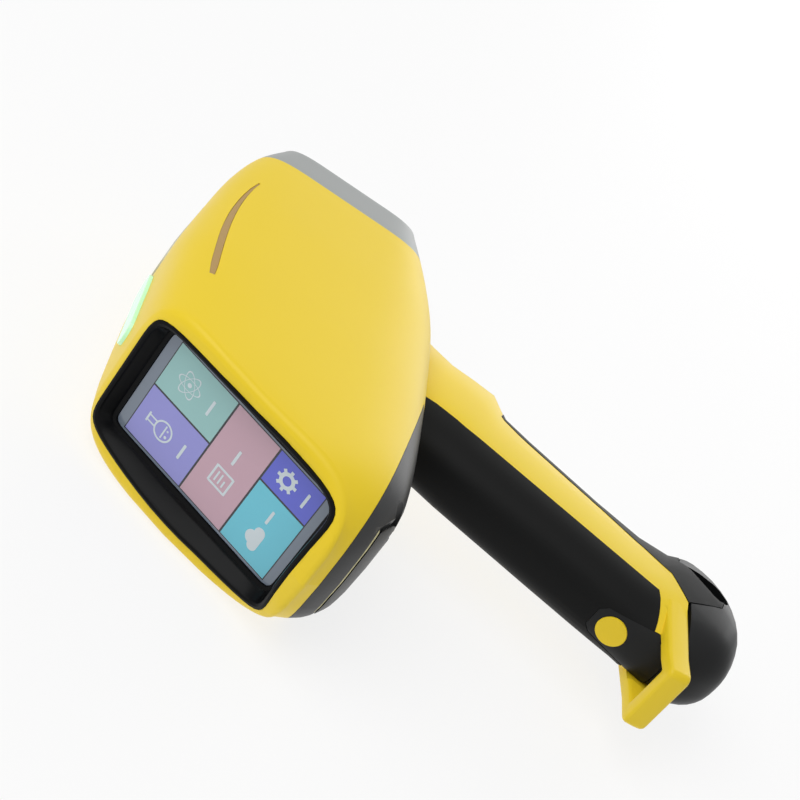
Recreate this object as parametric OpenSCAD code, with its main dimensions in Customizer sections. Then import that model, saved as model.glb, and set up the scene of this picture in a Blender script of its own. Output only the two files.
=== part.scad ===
// Handheld X-ray fluorescence analyser: pistol-grip body, tilted touch screen, measuring nose,
// trigger, sliding battery pack with release button, port door and internal measuring unit.
// Frame: origin at the middle of the nose face, +X out of the nose, +Y to the left, +Z up.

/* [Head] */
// Distance from the nose face to the middle of the screen
head_l = 192; // [186:1:200]
// Widest width of the head, beside the screen
head_w = 84; // [81:0.5:88]
// Height of the crown above the nose axis
head_top = 50; // [49:0.5:53]
// Depth of the belly below the nose axis
belly_drop = 82; // [81:0.5:85]
// Wall thickness of the yellow shells and the covers
wall = 2.6; // [2.2:0.1:3]
// Radius of the soft edge around the rear rim
rim_r = 3.5; // [3:0.5:4]

/* [Nose] */
// Width of the nose face
nose_w = 62; // [60:1:64]
// Height of the nose face above the nose axis
nose_top = 32; // [31:0.5:34]
// Depth of the nose face below the nose axis
nose_low = 42.5; // [41:0.5:44]
// Length of the grey nose cap
nose_l = 23; // [21:1:25]
// Side of the square window plate
plate_side = 42; // [38:1:44]
// Diameter of the measuring window
window_d = 12; // [8:0.5:14]
// Thickness of the window plate
plate_t = 3; // [2.5:0.1:3.2]

/* [Screen] */
// Lean of the screen from the vertical, in degrees
screen_tilt = 24.3; // [23:0.1:26]
// Height of the middle of the screen above the nose axis
screen_z = -12; // [-14:0.5:-11]
// Width of the cover glass
glass_w = 53; // [50:0.5:54]
// Length of the cover glass
glass_h = 94; // [91:0.5:95]
// Thickness of the cover glass
glass_t = 1.2; // [0.8:0.1:1.6]
// Half width of the opening around the screen
open_w = 35.6; // [35:0.2:36.4]
// Half length of the opening around the screen
open_h = 54.4; // [53.6:0.2:55]
// Thickness of the display module
lcd_t = 4.5; // [3.5:0.5:6]

/* [Grip] */
// Lean of the grip from the vertical, in degrees
rake = 12.8; // [12:0.2:14]
// Width across the grip
grip_w = 38.4; // [37.6:0.2:40]
// Depth from the middle of the grip to its back
grip_back = 26.5; // [26:0.5:28]
// Depth from the middle of the grip to its front
grip_front = 29; // [28.5:0.5:31]
// Thickness of the grip covers
cover_t = 3; // [2.4:0.2:3]
// Distance from the root of the grip to the step above the battery toe
grip_l = 144.3; // [143:0.5:150]

/* [Battery] */
// Diameter of one battery cell
cell_d = 18.3; // [17.5:0.1:18.6]
// Wall of the battery case
case_t = 1.15; // [0.9:0.05:1.3]
// Length of the battery case
case_l = 118; // [112:1:119]

/* [Trigger] */
// Width of the trigger
trig_w = 14; // [11:0.5:15]
// Angle through which the trigger swings
trig_swing = 8; // [5:0.5:9]
// Diameter of the trigger pin
trig_pin_d = 3; // [2.5:0.1:3.5]

/* [Release button] */
// Diameter of the release button
latch_d = 14.2; // [12:0.2:15]
// Stroke of the release button
latch_stroke = 1.5; // [1:0.1:1.8]
// Distance of the button above the step over the battery toe
latch_up = 6; // [5.5:0.5:8]

/* [Carrying loop] */
// Reach of the loop behind the middle of the grip
loop_reach = 45.5; // [43:0.5:48]
// Thickness of the loop's bar
loop_bar = 7.6; // [6.8:0.2:8]
// Height of the loop's bar
loop_rise = 11; // [10:0.2:11.6]

/* [Measuring unit] */
// Diameter of the X-ray tube housing
tube_d = 22; // [18:1:23]
// Length of the X-ray tube housing
tube_l = 60; // [50:1:62]
// Diameter of the detector can
detector_d = 16; // [13:0.5:17]
// Radius of the filter wheel
wheel_r = 17; // [16:0.5:18]
// Number of filters in the wheel
filters = 6; // [4:1:8]
// Thickness of the filter wheel
wheel_t = 2; // [1.5:0.1:2.4]
// Thickness of the chassis plate
chassis_t = 2.5; // [2:0.1:3]

/* [Hidden] */

// Clearances: between pieces of one body, between moving bodies, and of a running fit
fit = 0.15;
run = 0.4;
play = 0.05;
eps = 0.01;
yellow = [0.93, 0.82, 0.22];
dark = [0.1, 0.1, 0.1];
grey = [0.62, 0.63, 0.65];

// ---------------------------------------------------------------- helpers
function lerp(a, b, t) = a + (b - a) * t;
function unit(t) = max(0, min(1, t));
function spow(v, e) = sign(v) * pow(abs(v), e);
// Smooth curve through the rows of keys at position s, in rows
function curve(keys, s) =
    let (last = len(keys) - 1, i = max(0, min(floor(s), last - 1)), f = s - i)
    let (a = keys[max(i - 1, 0)], b = keys[i], c = keys[i + 1], d = keys[min(i + 2, last)])
    0.5 * (2 * b + (c - a) * f + (2 * a - 5 * b + 4 * c - d) * f * f
        + (3 * b - a - 3 * c + d) * f * f * f);
// Value at z from rows [z, v1, v2...] ordered by falling z, with a smooth curve between them
function at_z(keys, z) =
    let (m = len([for (k = keys) if (k[0] >= z) 1]), i = max(0, min(m - 1, len(keys) - 2)))
    let (f = unit((keys[i][0] - z) / (keys[i][0] - keys[i + 1][0])))
    curve(keys, i + f);

// Solid skinned over closed rings of equal length, its ends closed on their middles
module skin(rings) {
    n = len(rings[0]);
    m = len(rings);
    first = [for (k = [0:2]) lerp(rings[0][0][k], rings[0][n / 2][k], 0.5)];
    last = [for (k = [0:2]) lerp(rings[m - 1][0][k], rings[m - 1][n / 2][k], 0.5)];
    polyhedron(
        points = concat([for (r = rings) each r], [first, last]),
        faces = concat(
            [for (i = [0:n - 1]) [m * n, (i + 1) % n, i]],
            [for (j = [0:m - 2], i = [0:n - 1], t = [0, 1])
                let (a = j * n + i, b = j * n + (i + 1) % n, c = b + n, d = a + n)
                t == 0 ? [a, b, c] : [a, c, d]],
            [for (i = [0:n - 1]) [m * n + 1, (m - 1) * n + i, (m - 1) * n + (i + 1) % n]]),
        convexity = 6);
}

// Ring-shaped solid: closed sections joined one after another and back to the first
module hoop(sections) {
    n = len(sections[0]);
    m = len(sections);
    polyhedron(
        points = [for (r = sections) each r],
        faces = [for (j = [0:m - 1], i = [0:n - 1], t = [0, 1])
            let (a = j * n + i, b = j * n + (i + 1) % n)
            let (c = ((j + 1) % m) * n + (i + 1) % n, d = ((j + 1) % m) * n + i)
            t == 0 ? [a, b, c] : [a, c, d]],
        convexity = 6);
}

module rounded_plate(x, y, t, r) {
    linear_extrude(t) {
        square([x - 2 * r, y], center = true);
        square([x, y - 2 * r], center = true);
        for (i = [-1, 1], j = [-1, 1]) translate([i * (x / 2 - r), j * (y / 2 - r)]) circle(r, $fn = 48);
    }
}

// Outline of two round cells side by side, with radius r around each
module cell_outline(r, pitch) {
    square([pitch, 2 * r], center = true);
    for (i = [-1, 1]) translate([i * pitch / 2, 0]) circle(r, $fn = 64);
}

// Coil spring along +Z from z = 0 to z = l
module coil(l, r, wire, turns) {
    steps = turns * 14;
    sides = 6;
    skin([for (j = [0:steps])
        let (a = 360 * j * turns / steps, z = lerp(wire, l - wire, j / steps))
        [for (i = [0:sides - 1])
            let (b = 360 * i / sides, q = r - wire + wire * cos(b))
            [q * cos(a), q * sin(a), z + wire * sin(b)]]]);
}

// ---------------------------------------------------------------- form of the head
// Rows from the nose face to the rear rim:
// x on the nose axis, lean, half width, top, bottom, rearward bow, chin, squareness
head_keys = [
    [0, 0, nose_w / 2, nose_top, -nose_low, 0, 0, 7],
    [-nose_l, 0, lerp(nose_w, head_w, 0.30) / 2, lerp(nose_top, head_top, 0.53),
        lerp(-nose_low, -belly_drop, 0.23), 0, 0, 6.2],
    [-0.24 * head_l, 0, lerp(nose_w, head_w, 0.50) / 2, lerp(nose_top, head_top, 0.80),
        lerp(-nose_low, -belly_drop, 0.46), 0, 0, 5.4],
    [-0.365 * head_l, 0, lerp(nose_w, head_w, 0.67) / 2, lerp(nose_top, head_top, 0.91),
        lerp(-nose_low, -belly_drop, 0.64), 0, 0, 5],
    [-0.50 * head_l, 0.04, lerp(nose_w, head_w, 0.80) / 2, head_top - 0.1,
        lerp(-nose_low, -belly_drop, 0.775), 0, 0, 4.7],
    [-0.64 * head_l, 0.15, head_w / 2 - 1, head_top, -belly_drop + 4.2, 0, 0, 4.8],
    [-0.76 * head_l, 0.31, head_w / 2 - 0.3, head_top - 1.5, -belly_drop + 0.3, 1, 2, 4.9],
    [-0.85 * head_l, 0.38, head_w / 2, head_top - 3, -belly_drop, 3, 6, 4.9],
    [-0.925 * head_l, 0.405, head_w / 2, head_top - 4.7, -belly_drop + 8, 4.8, 11, 4.8],
    [-0.978 * head_l, 0.415, head_w / 2 - 0.2, head_top - 6.6, -belly_drop + 19, 5.9, 14.5, 4.7]];
rim = len(head_keys) - 1;

// x of the head's surface field for a key row v at the point y, z
function lean_x(v, y, z) =
    let (q = (z + 7) / 62, side = y / v[2])
    v[0] + v[1] * z - v[5] * pow(max(0, 1 - q * q), 2)
        - v[6] * unit(1 - side * side) * unit((-25 - z) / 35);
function head_ring(s, n, inset = 0, push = 0) =
    let (v = curve(head_keys, s), zc = (v[3] + v[4]) / 2)
    let (h = (v[3] - v[4]) / 2 - inset, w = v[2] - inset)
    [for (i = [0:n - 1])
        let (a = 360 * i / n, y = w * spow(cos(a), 2 / v[7]), z = zc + h * spow(sin(a), 2 / v[7]))
        [lean_x(v, y, z) + push, y, z]];
// Half width of the head's skin at row s and height z
function side_y(s, z, inset = 0) =
    let (v = curve(head_keys, s), zc = (v[3] + v[4]) / 2, h = (v[3] - v[4]) / 2 - inset)
    (v[2] - inset) * pow(1 - pow(abs(z - zc) / h, v[7]), 1 / v[7]);
function row_x(s, z) = lean_x(curve(head_keys, s), head_w / 2, z);

// The head behind the nose cap as a solid; n points round, grown or shrunk by inset
module head_solid(n = 64, inset = 0, step = 3) {
    skin(concat(
        [for (j = [0:(rim - 1) * step]) head_ring(1 + j / step, n, inset)],
        [for (a = [30, 60, 90])
            head_ring(rim, n, inset + rim_r * (1 - cos(a)), -rim_r * sin(a))],
        [head_ring(rim, n, inset + 14, -rim_r)]));
}
module head_hollow(inset = wall) {
    skin(concat(
        [head_ring(1, 32, inset, 1)],
        [for (j = [0:14]) head_ring(1 + (rim - 1.12) * j / 14, 32, inset)]));
}

// ---------------------------------------------------------------- form of the grip
grip_x = -88;
grip_z = -64;
module grip_frame() {
    translate([grip_x, 0, grip_z]) rotate([0, rake, 0]) children();
}
toe = -grip_l;
// Rows down the grip: z, back, front, half width
grip_keys = [
    [44, -30, 34, grip_w / 2],
    [12, -grip_back - 2.2, grip_front + 17, grip_w / 2],
    [0, -grip_back - 1.5, grip_front + 13.9, grip_w / 2],
    [-12, -grip_back - 0.7, grip_front + 12, grip_w / 2 + 0.2],
    [-24, -grip_back - 0.3, grip_front + 14.2, grip_w / 2 + 0.3],
    [-35, -grip_back, grip_front + 15.6, grip_w / 2 + 0.2],
    [-46, -grip_back, grip_front + 4.6, grip_w / 2],
    [-60, -grip_back, grip_front + 2.8, grip_w / 2],
    [-100, -grip_back, grip_front + 0.3, grip_w / 2],
    [toe + 20, -grip_back, grip_front + 0.5, grip_w / 2],
    [toe + 5, -grip_back, grip_front + 5, grip_w / 2 + 0.2],
    [toe - 1, -grip_back, grip_front + 11, grip_w / 2 + 0.5],
    [toe - 6.8, -grip_back, grip_front + 13.6, grip_w / 2 + 1.1],
    [toe - 17.6, -grip_back + 0.3, grip_front + 12.4, grip_w / 2 + 1.8],
    [toe - 27.3, -grip_back + 1.8, grip_front + 6.2, grip_w / 2 + 2.1],
    [toe - 35.1, -grip_back + 5.5, grip_front - 3.6, grip_w / 2 + 1.1],
    [toe - 41, -grip_back + 10.5, grip_front - 14, grip_w / 2 - 2.8],
    [toe - 44.4, -grip_back + 15, grip_front - 23.5, grip_w / 2 - 8.8],
    [toe - 45.6, -grip_back + 19, grip_front - 28.5, grip_w / 2 - 14.4]];
grip_end = len(grip_keys) - 1;
function grip_ring(s, n, inset = 0) =
    let (v = curve(grip_keys, s), xc = (v[1] + v[2]) / 2, a = (v[2] - v[1]) / 2 - inset)
    [for (i = [0:n - 1]) let (t = 360 * i / n)
        [xc + a * spow(cos(t), 2 / 2.6), (v[3] - inset) * spow(sin(t), 2 / 2.6), v[0]]];
module grip_solid(n = 44, inset = 0, from = 0, to = grip_end, step = 1) {
    skin([for (j = [0:(to - from) * step]) grip_ring(from + j / step, n, inset)]);
}
// Prism over an outline given in the grip's x and z, seen from its side
module side_prism(outline, half = 40) {
    rotate([90, 0, 0]) linear_extrude(2 * half, center = true) polygon(outline);
}

// Lines on the grip's side, from the middle of its depth and the root
arm_top = [[-6.2, toe + 1], [-9.4, toe - 1.2], [-30, toe - 11.2]];
stripe_back = [[-12.5, 44], [-12, 2], [-10.5, -4], [-8.6, -11], [-7, -19], [-6.2, -30]];
arm_low = [[-30, toe - 21.2], [-1, toe - 12.2]];
front_line = [[10, toe], [13, toe + 18], [16, toe + 42], [19, -56], [22, -43.5]];
stripe = concat([[60, 44]], stripe_back, arm_top, arm_low, front_line, [[60, -43.5]]);

// ---------------------------------------------------------------- belly split
belly_rear = [-head_l - 60, -belly_drop + 16.4];
belly_front = [-0.655 * head_l, -belly_drop + 10];
belly_side = [belly_rear, belly_front, [belly_front[0] - 14, belly_front[1] - 14],
    [belly_front[0] - 14, -belly_drop - 20], [belly_rear[0], -belly_drop - 20]];
door_top = -belly_drop + 8.2;
door_x = -head_l - 5;
door_side = [[-head_l - 60, door_top], [door_x - 13, door_top - 0.6], [door_x, -belly_drop + 1.6],
    [door_x, -belly_drop - 20], [-head_l - 60, -belly_drop - 20]];
hinge = [door_x - 1.2, -belly_drop + 2.1];
module prism_y(outline, half = 60) {
    rotate([90, 0, 0]) linear_extrude(2 * half, center = true) polygon(outline);
}
module half_space(side) {
    translate([-400, side > 0 ? 0 : -100, -400]) cube([500, 100, 600]);
}

// ---------------------------------------------------------------- screen frame
module screen_frame() {
    translate([-head_l, 0, screen_z]) rotate([0, screen_tilt - 90, 0]) children();
}
open_mid = 0.7;
// Squared circle: radius at the angle a for the squareness n
function squared(a, n) = pow(pow(abs(cos(a)), n) + pow(abs(sin(a)), n), -1 / n);
// Outline of the screen opening with its bowed sides, shrunk by d: [up the screen, across]
function opening(a, d = 0) =
    let (r = squared(a, 10), up = open_mid + (open_h - d) * r * cos(a))
    [up, (open_w - d - 0.0011 * pow(up + 4.3, 2)) * r * sin(a)];
function glass_edge(a, d = 0) =
    let (r = squared(a, 22)) [(glass_h / 2 - d) * r * cos(a), (glass_w / 2 - d) * r * sin(a)];
// Height of the rear rim above the glass plane at the point p of the screen frame
function rim_rise(p) =
    let (v = head_keys[rim], st = sin(screen_tilt), ct = cos(screen_tilt))
    let (z0 = screen_z + p[0] * ct)
    let (c0 = (-head_l + p[0] * st - lean_x(v, p[1], z0) + rim_r) / (ct + v[1] * st))
    let (z1 = z0 + c0 * st)
    (-head_l + p[0] * st - lean_x(v, p[1], z1) + rim_r) / ct;
open_n = 64;
// Angle of point i round the opening, the points closer together at its corners
function turn_at(i) = let (q = 4 * i / open_n, f = q - floor(q)) 90 * q + 8.6 * sin(360 * f);
module opening_prism(d, from, to) {
    screen_frame() translate([0, 0, from]) linear_extrude(to - from)
        polygon([for (i = [0:open_n - 1]) opening(turn_at(i), d)]);
}

// ---------------------------------------------------------------- surface fittings
slit_x = [-0.288 * head_l, -0.752 * head_l];
// Curved light slit on the side, pointed in front, seen from the side
function slit_mid(t) = [lerp(slit_x[0], slit_x[1], t), 33.5 + 4.2 * sin(180 * pow(t, 0.8)) - 2.5 * t];
function slit_half(t) = 0.45 + 1.15 * sin(90 * min(1, t * 1.4)) * (t > 0.93 ? 0.6 : 1);
module slit_prism(side, d) {
    up = [for (i = [0:12]) let (t = i / 12) slit_mid(t) + [0, slit_half(t) - d]];
    down = [for (i = [12:-1:0]) let (t = i / 12) slit_mid(t) - [0, slit_half(t) - d]];
    translate([0, side * 40, 0]) prism_y(concat(up, down), 25);
}
plate_x = [-0.235 * head_l, -0.55 * head_l];
plate_hw = 11;
module plate_outline(d) {
    l = plate_x[0] - plate_x[1];
    translate([(plate_x[0] + plate_x[1]) / 2, 0, 0])
        rounded_plate(l - 2 * d, 2 * plate_hw - 2 * d, 100, plate_hw - 2 - d);
}
light_x = [-0.60 * head_l, -0.83 * head_l];
light_hw = 7;
module light_outline(d) {
    l = light_x[0] - light_x[1];
    translate([(light_x[0] + light_x[1]) / 2, 0, 0])
        rounded_plate(l - 2 * d, 2 * light_hw - 2 * d, 100, light_hw - 0.5 - d);
}

// ---------------------------------------------------------------- yellow shells
bow_slope = 22.6;
bow_z = toe - 9;
// Carrying loop behind the grip: a bar of rounded section along a U
bow_reach = (loop_reach - 5) / cos(bow_slope);
bow_out = 18.2;
// Outer and inner point of the bar at the turn a of its corner: [along the loop, across]
function bow_turn(a) = [
    [-bow_reach + 3.2 * (1 - sin(a)), -bow_out + 3.2 * (1 - cos(a))],
    [-bow_reach + loop_bar + 0.8 * (1 - sin(a)), -bow_out + loop_bar + 0.8 * (1 - cos(a))]];
function bow_path() = concat(
    [[[0, -grip_w / 2 - 0.6], [0, -grip_w / 2 - 0.6 + loop_bar]],
        [[-bow_reach + 14, -bow_out + 0.4], [-bow_reach + 14, -bow_out + 0.4 + loop_bar]]],
    [for (a = [0:22.5:90]) bow_turn(a)],
    [[[-bow_reach, 0], [-bow_reach + loop_bar, 0]]]);
function bow_section(p, side) =
    let (c = (p[0] + p[1]) / 2, u = (p[0] - p[1]) / 2)
    [for (i = [0:15]) let (t = 360 * i / 16, q = c + u * spow(cos(t), 0.45))
        [q[0], -side * q[1], loop_rise / 2 * spow(sin(t), 0.45)]];
module bow(side) {
    rings = [for (p = bow_path()) bow_section(p, side)];
    m = len(rings);
    grip_frame() translate([-5, 0, bow_z]) rotate([0, -bow_slope, 0])
        skin(side > 0 ? rings : [for (j = [0:m - 1]) rings[m - 1 - j]]);
}

trig_x = 29;
trig_z = 4;
slot_w = trig_w + 2.4;
// Recess for the trigger between the two cheeks, grown by d on every side
module trigger_slot(d = 0) {
    grip_frame() {
        translate([23.6, -slot_w / 2 - d, -40.2 - d]) cube([60, slot_w + 2 * d, 38.2 + 2 * d]);
        translate([23.6, -slot_w / 2 - d, -6]) cube([13.4 + d, slot_w + 2 * d, 23 + d]);
    }
}

module shell(side) {
    color(yellow) intersection() {
        half_space(side);
        difference() {
            union() {
                difference() {
                    union() {
                        head_solid();
                        grip_frame() intersection() {
                            grip_solid(to = 13);
                            side_prism(stripe);
                        }
                    }
                    head_hollow();
                    grip_frame() grip_solid(n = 32, inset = cover_t, to = 14);
                }
                // Cheek liners beside the trigger
                intersection() {
                    trigger_slot(1.8);
                    union() {
                        grip_frame() grip_solid(n = 32, inset = 0.4, to = 8);
                        head_solid(n = 32, inset = 0.8, step = 1);
                    }
                }
                // Screw bosses
                intersection() {
                    head_solid(n = 32, inset = 0.8, step = 1);
                    for (p = screw_rows()) screw_line(p, side) cylinder(h = 50, r = 3.6, $fn = 24);
                }
                bow(side);
            }
            trigger_slot();
            panel_prism(fit, -grip_back - 1, -6);
            // Seats of the other covers
            prism_y(belly_side);
            opening_prism(0, -18, 40);
            intersection() {
                plate_outline(0);
                difference() {
                    translate([-300, -50, 0]) cube([300, 100, 100]);
                    head_solid(n = 48, inset = 1, step = 2);
                }
            }
            light_outline(0);
            slit_prism(side, 0);
            // Passage of the grip core and bore of the trigger pin
            grip_frame() {
                translate([core_x, 0, -60]) linear_extrude(120)
                    cell_outline(core_r + fit, cell_pitch);
                translate([trig_x, 0, trig_z]) rotate([90, 0, 0])
                    cylinder(h = 2 * trig_pin_reach, d = trig_pin_d + 2 * play, center = true, $fn = 32);
            }
            for (p = screw_rows()) screw_line(p, side) {
                translate([0, 0, -1]) cylinder(h = side > 0 ? 60 : 12, r = 1.5 + play, $fn = 24);
                if (side > 0) translate([0, 0, side_y(p[0], p[1]) - 4.4 - play])
                    cylinder(h = 10, r = 2.9, $fn = 32);
            }
        }
    }
}
module shell_left() shell(1);
module shell_right() shell(-1);

// ---------------------------------------------------------------- nose
module nose_cap() {
    edge = 1.8;
    face = head_keys[0];
    lip = 3;
    function front(a) =
        let (f = edge * (1 - sin(a)), s = unit(f / nose_l) * 1.9)
        [for (p = head_ring(s, 64, edge * (1 - cos(a)))) [-f, p[1], p[2]]];
    color(grey) difference() {
        union() {
            skin(concat([for (a = [90:-30:0]) front(a)],
                [for (j = [0:4]) head_ring(0.28 + 0.18 * j, 64)]));
            // Lip that slides into the shells
            skin([head_ring(0.92, 48, wall + fit, 0),
                [for (p = head_ring(1, 48, wall + fit)) [p[0] - lip, p[1], p[2]]]]);
        }
        skin([[for (p = head_ring(0.2, 32, wall + 0.4)) [-plate_t - 1, p[1], p[2]]],
            head_ring(0.6, 32, wall + 0.2),
            head_ring(0.96, 32, wall + 1.6),
            [for (p = head_ring(1, 32, wall + 1.6)) [p[0] - lip - 1, p[1], p[2]]]]);
        translate([-plate_t, 0, 0]) rotate([0, 90, 0])
            rounded_plate(plate_side + 2 * fit, plate_side + 2 * fit, 10, 6 + fit);
        translate([-plate_t - 5, 0, 0]) rotate([0, 90, 0]) cylinder(h = 10, r = 10, $fn = 64);
        for (p = plate_screw_at()) translate([-plate_t - 5, p[0], p[1]]) rotate([0, 90, 0])
            cylinder(h = 10, r = 1.25, $fn = 24);
    }
}
function plate_screw_at() = [for (i = [-1, 1], j = [-1, 1]) [i, j] * (plate_side / 2 - 5)];
window_boss = 1.8;
module nose_plate() {
    color(dark) difference() {
        union() {
            translate([-plate_t, 0, 0]) rotate([0, 90, 0])
                rounded_plate(plate_side, plate_side, plate_t, 6);
            translate([-plate_t - window_boss, 0, 0]) rotate([0, 90, 0])
                cylinder(h = window_boss + eps, r = window_d / 2 + 3, $fn = 64);
        }
        translate([-plate_t - 10, 0, 0]) rotate([0, 90, 0]) cylinder(h = 20, d = window_d, $fn = 64);
        for (p = plate_screw_at()) translate([-plate_t - 1, p[0], p[1]]) rotate([0, 90, 0]) {
            cylinder(h = 10, r = 1.6, $fn = 24);
            translate([0, 0, 1 + plate_t - 1.4]) cylinder(h = 10, r = 3.1, $fn = 32);
        }
    }
}
film_t = 0.3;
module window_film() {
    color("goldenrod") translate([-plate_t - window_boss - film_t, 0, 0]) rotate([0, 90, 0])
        cylinder(h = film_t, d = window_d + 5, $fn = 64);
}
module plate_screws() {
    color("silver") for (p = plate_screw_at()) translate([-plate_t, p[0], p[1]]) rotate([0, 90, 0])
        difference() {
            union() {
                translate([0, 0, -1 - wall / 2]) cylinder(h = wall, r = 1.25 - play, $fn = 24);
                cylinder(h = plate_t - 1, r = 1.25 - play, $fn = 24);
                translate([0, 0, plate_t - 1.4]) cylinder(h = 1.2, r = 2.8, $fn = 32);
            }
            translate([0, 0, plate_t - 0.9]) cylinder(h = 1, r = 1.25, $fn = 6);
        }
}

// ---------------------------------------------------------------- fittings in the shells
module top_plate() {
    color([0.72, 0.72, 0.74]) intersection() {
        plate_outline(fit);
        difference() {
            head_solid(n = 48, inset = -0.7, step = 2);
            head_solid(n = 48, inset = 1 - fit / 3, step = 2);
        }
    }
}
module status_light() {
    color([0.6, 0.95, 0.65]) intersection() {
        light_outline(fit);
        difference() {
            head_solid(n = 48, inset = -1.6, step = 2);
            head_solid(n = 32, inset = wall + 1, step = 1);
        }
    }
}
module lamp(side) {
    color([0.72, 0.56, 0.32]) intersection() {
        slit_prism(side, fit);
        difference() {
            head_solid(n = 64, inset = 0.25);
            head_solid(n = 32, inset = wall + 1, step = 1);
        }
    }
}
module lamp_left() lamp(1);
module lamp_right() lamp(-1);

// ---------------------------------------------------------------- screen
glass_gap = 0.25;
ledge = 2;
bezel_floor = -glass_t - 1.4;
module bezel() {
    function at(p, c) = [p[0], p[1], c];
    function section(a) =
        let (o = opening(a, fit), g = glass_edge(a, -glass_gap), r = rim_rise(o))
        [at(o, bezel_floor), at(o, r + 0.4), at(opening(a, fit + 1), r + 0.7),
            at(opening(a, fit + 2), r + 0.3), at(opening(a, fit + 2.6), r - 0.9),
            at(lerp(o, g, 0.72), lerp(r, 1.6, 0.8)), at(lerp(o, g, 0.78), lerp(r, 0.8, 0.93)),
            at(g, 0.8), at(g, -glass_t), at(glass_edge(a, ledge), -glass_t),
            at(glass_edge(a, ledge), bezel_floor)];
    color(dark) screen_frame() hoop([for (i = [0:open_n - 1]) section(turn_at(i))]);
}
module screen_glass() {
    color([0.25, 0.3, 0.38]) screen_frame() translate([0, 0, -glass_t]) linear_extrude(glass_t)
        polygon([for (i = [0:open_n - 1]) glass_edge(turn_at(i))]);
}
lcd_h = glass_h + 3;
lcd_w = glass_w + 3;
lcd_back = bezel_floor - lcd_t;
module lcd_module() {
    color("silver") screen_frame() difference() {
        union() {
            translate([-lcd_h / 2, -lcd_w / 2, lcd_back]) cube([lcd_h, lcd_w, lcd_t]);
            translate([0, 0, bezel_floor - eps]) linear_extrude(1.2)
                polygon([for (i = [0:open_n - 1]) glass_edge(turn_at(i), ledge + 0.5)]);
        }
        for (i = [-1, 1]) translate([i * 30 - 9, -15, lcd_back - 1]) cube([18, 30, 1.8]);
    }
}
board_t = 1.6;
module display_board() {
    color("darkgreen") screen_frame() translate([0, 0, lcd_back - board_t]) {
        translate([-lcd_h / 2 + 3, -lcd_w / 2 + 2, 0]) cube([lcd_h - 6, lcd_w - 4, board_t]);
        for (p = [[-30, -14, 14, 10], [-4, 4, 12, 12], [20, -16, 16, 9]])
            translate([p[0], p[1], -1.6]) cube([p[2], p[3], 1.6 + eps]);
        translate([-8, -20, -3]) cube([6, 12, 3 + eps]);
    }
}

// ---------------------------------------------------------------- belly and ports
port_at = [[-head_l - 20.5, -10, 9.4, 3.4], [-head_l - 20.5, 8, 12, 2.4], [-head_l - 12.5, 0, 14.4, 6]];
module along_hinge(h, r) {
    translate([hinge[0], 0, hinge[1]]) rotate([90, 0, 0]) cylinder(h = h, r = r, center = true, $fn = 32);
}
module belly_cover() {
    // The wide open door's underside comes up in front of the hinge
    sweep = (hinge[1] + belly_drop + 0.3) * sqrt(2) + run;
    color(dark) difference() {
        union() {
            difference() {
                union() {
                    difference() {
                        intersection() {
                            head_solid();
                            translate([-2 * fit, 0, -fit]) prism_y(belly_side);
                        }
                        head_hollow(wall - 0.1);
                    }
                    // Port floor above the door
                    intersection() {
                        head_solid(n = 48, inset = 1, step = 2);
                        translate([-300, -60, door_top + 0.4]) cube([300 - head_l - 6, 120, 2]);
                    }
                }
                prism_y(door_side);
                along_hinge(90, sweep);
            }
            // Ears of the door hinge
            intersection() {
                for (s = [-1, 1]) translate([hinge[0], s * 19 + 2, hinge[1]]) rotate([90, 0, 0]) {
                    cylinder(h = 4, r = 1.5, $fn = 32);
                    translate([0, -1.5, 0]) cube([6, 3, 4]);
                }
                head_solid(n = 48, inset = 0.3, step = 2);
            }
        }
        for (p = port_at) translate([p[0] - p[3] / 2, p[1] - p[2] / 2, -belly_drop])
            cube([p[3], p[2], 30]);
        along_hinge(60, hinge_pin / 2 + play);
        grip_frame() translate([core_x, 0, -60]) linear_extrude(120)
            cell_outline(core_r + fit, cell_pitch);
    }
}
module port_block() {
    color("dimgray") {
        intersection() {
            translate([-head_l - 24, -20, door_top + 2.4]) cube([17, 40, board_t]);
            head_hollow(wall + fit);
        }
        for (p = port_at) translate([p[0] - p[3] / 2 + fit, p[1] - p[2] / 2 + fit, door_top + 0.6])
            difference() {
                cube([p[3] - 2 * fit, p[2] - 2 * fit, 1.8 + eps]);
                translate([0.5, 0.5, -1]) cube([p[3] - 2 * fit - 1, p[2] - 2 * fit - 1, 2.2]);
            }
    }
}
hinge_pin = 1.2;
seal_t = 0.8;
module port_door() {
    color(dark) difference() {
        union() {
            difference() {
                intersection() {
                    head_solid();
                    translate([-run, 0, -seal_t - run]) prism_y(door_side);
                }
                head_hollow(wall - 0.1);
                // Room at the hinge ears
                for (s = [-1, 1]) {
                    translate([hinge[0] - 2.6, s * 19 - 2.4, hinge[1] - 3]) cube([12, 4.8, 8]);
                    translate([hinge[0] - 0.6, s * 30 - 10, hinge[1] - 4]) cube([12, 20, 8]);
                }
            }
            // Barrel between the ears, tied to the door by a web
            along_hinge(33, 1.5);
            translate([hinge[0] - 4, -16.5, hinge[1] - 0.9]) cube([4, 33, 1.8]);
        }
        along_hinge(60, hinge_pin / 2 + play);
    }
}
module door_seal() {
    back = door_side[0];
    front = door_side[1];
    color([0.92, 0.92, 0.68]) difference() {
        intersection() {
            head_solid(n = 48, inset = 0.3, step = 2);
            prism_y([back, front, front - [0, seal_t], back - [0, seal_t]]);
        }
        head_solid(n = 32, inset = wall + 1, step = 1);
    }
}
module door_pin() {
    color("silver") translate([hinge[0], 0, hinge[1]]) rotate([90, 0, 0])
        cylinder(h = 41.6, r = hinge_pin / 2, center = true, $fn = 24);
}

// ---------------------------------------------------------------- grip covers
panel_y = 12.3;
panel_top = toe + 16.2;
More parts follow.
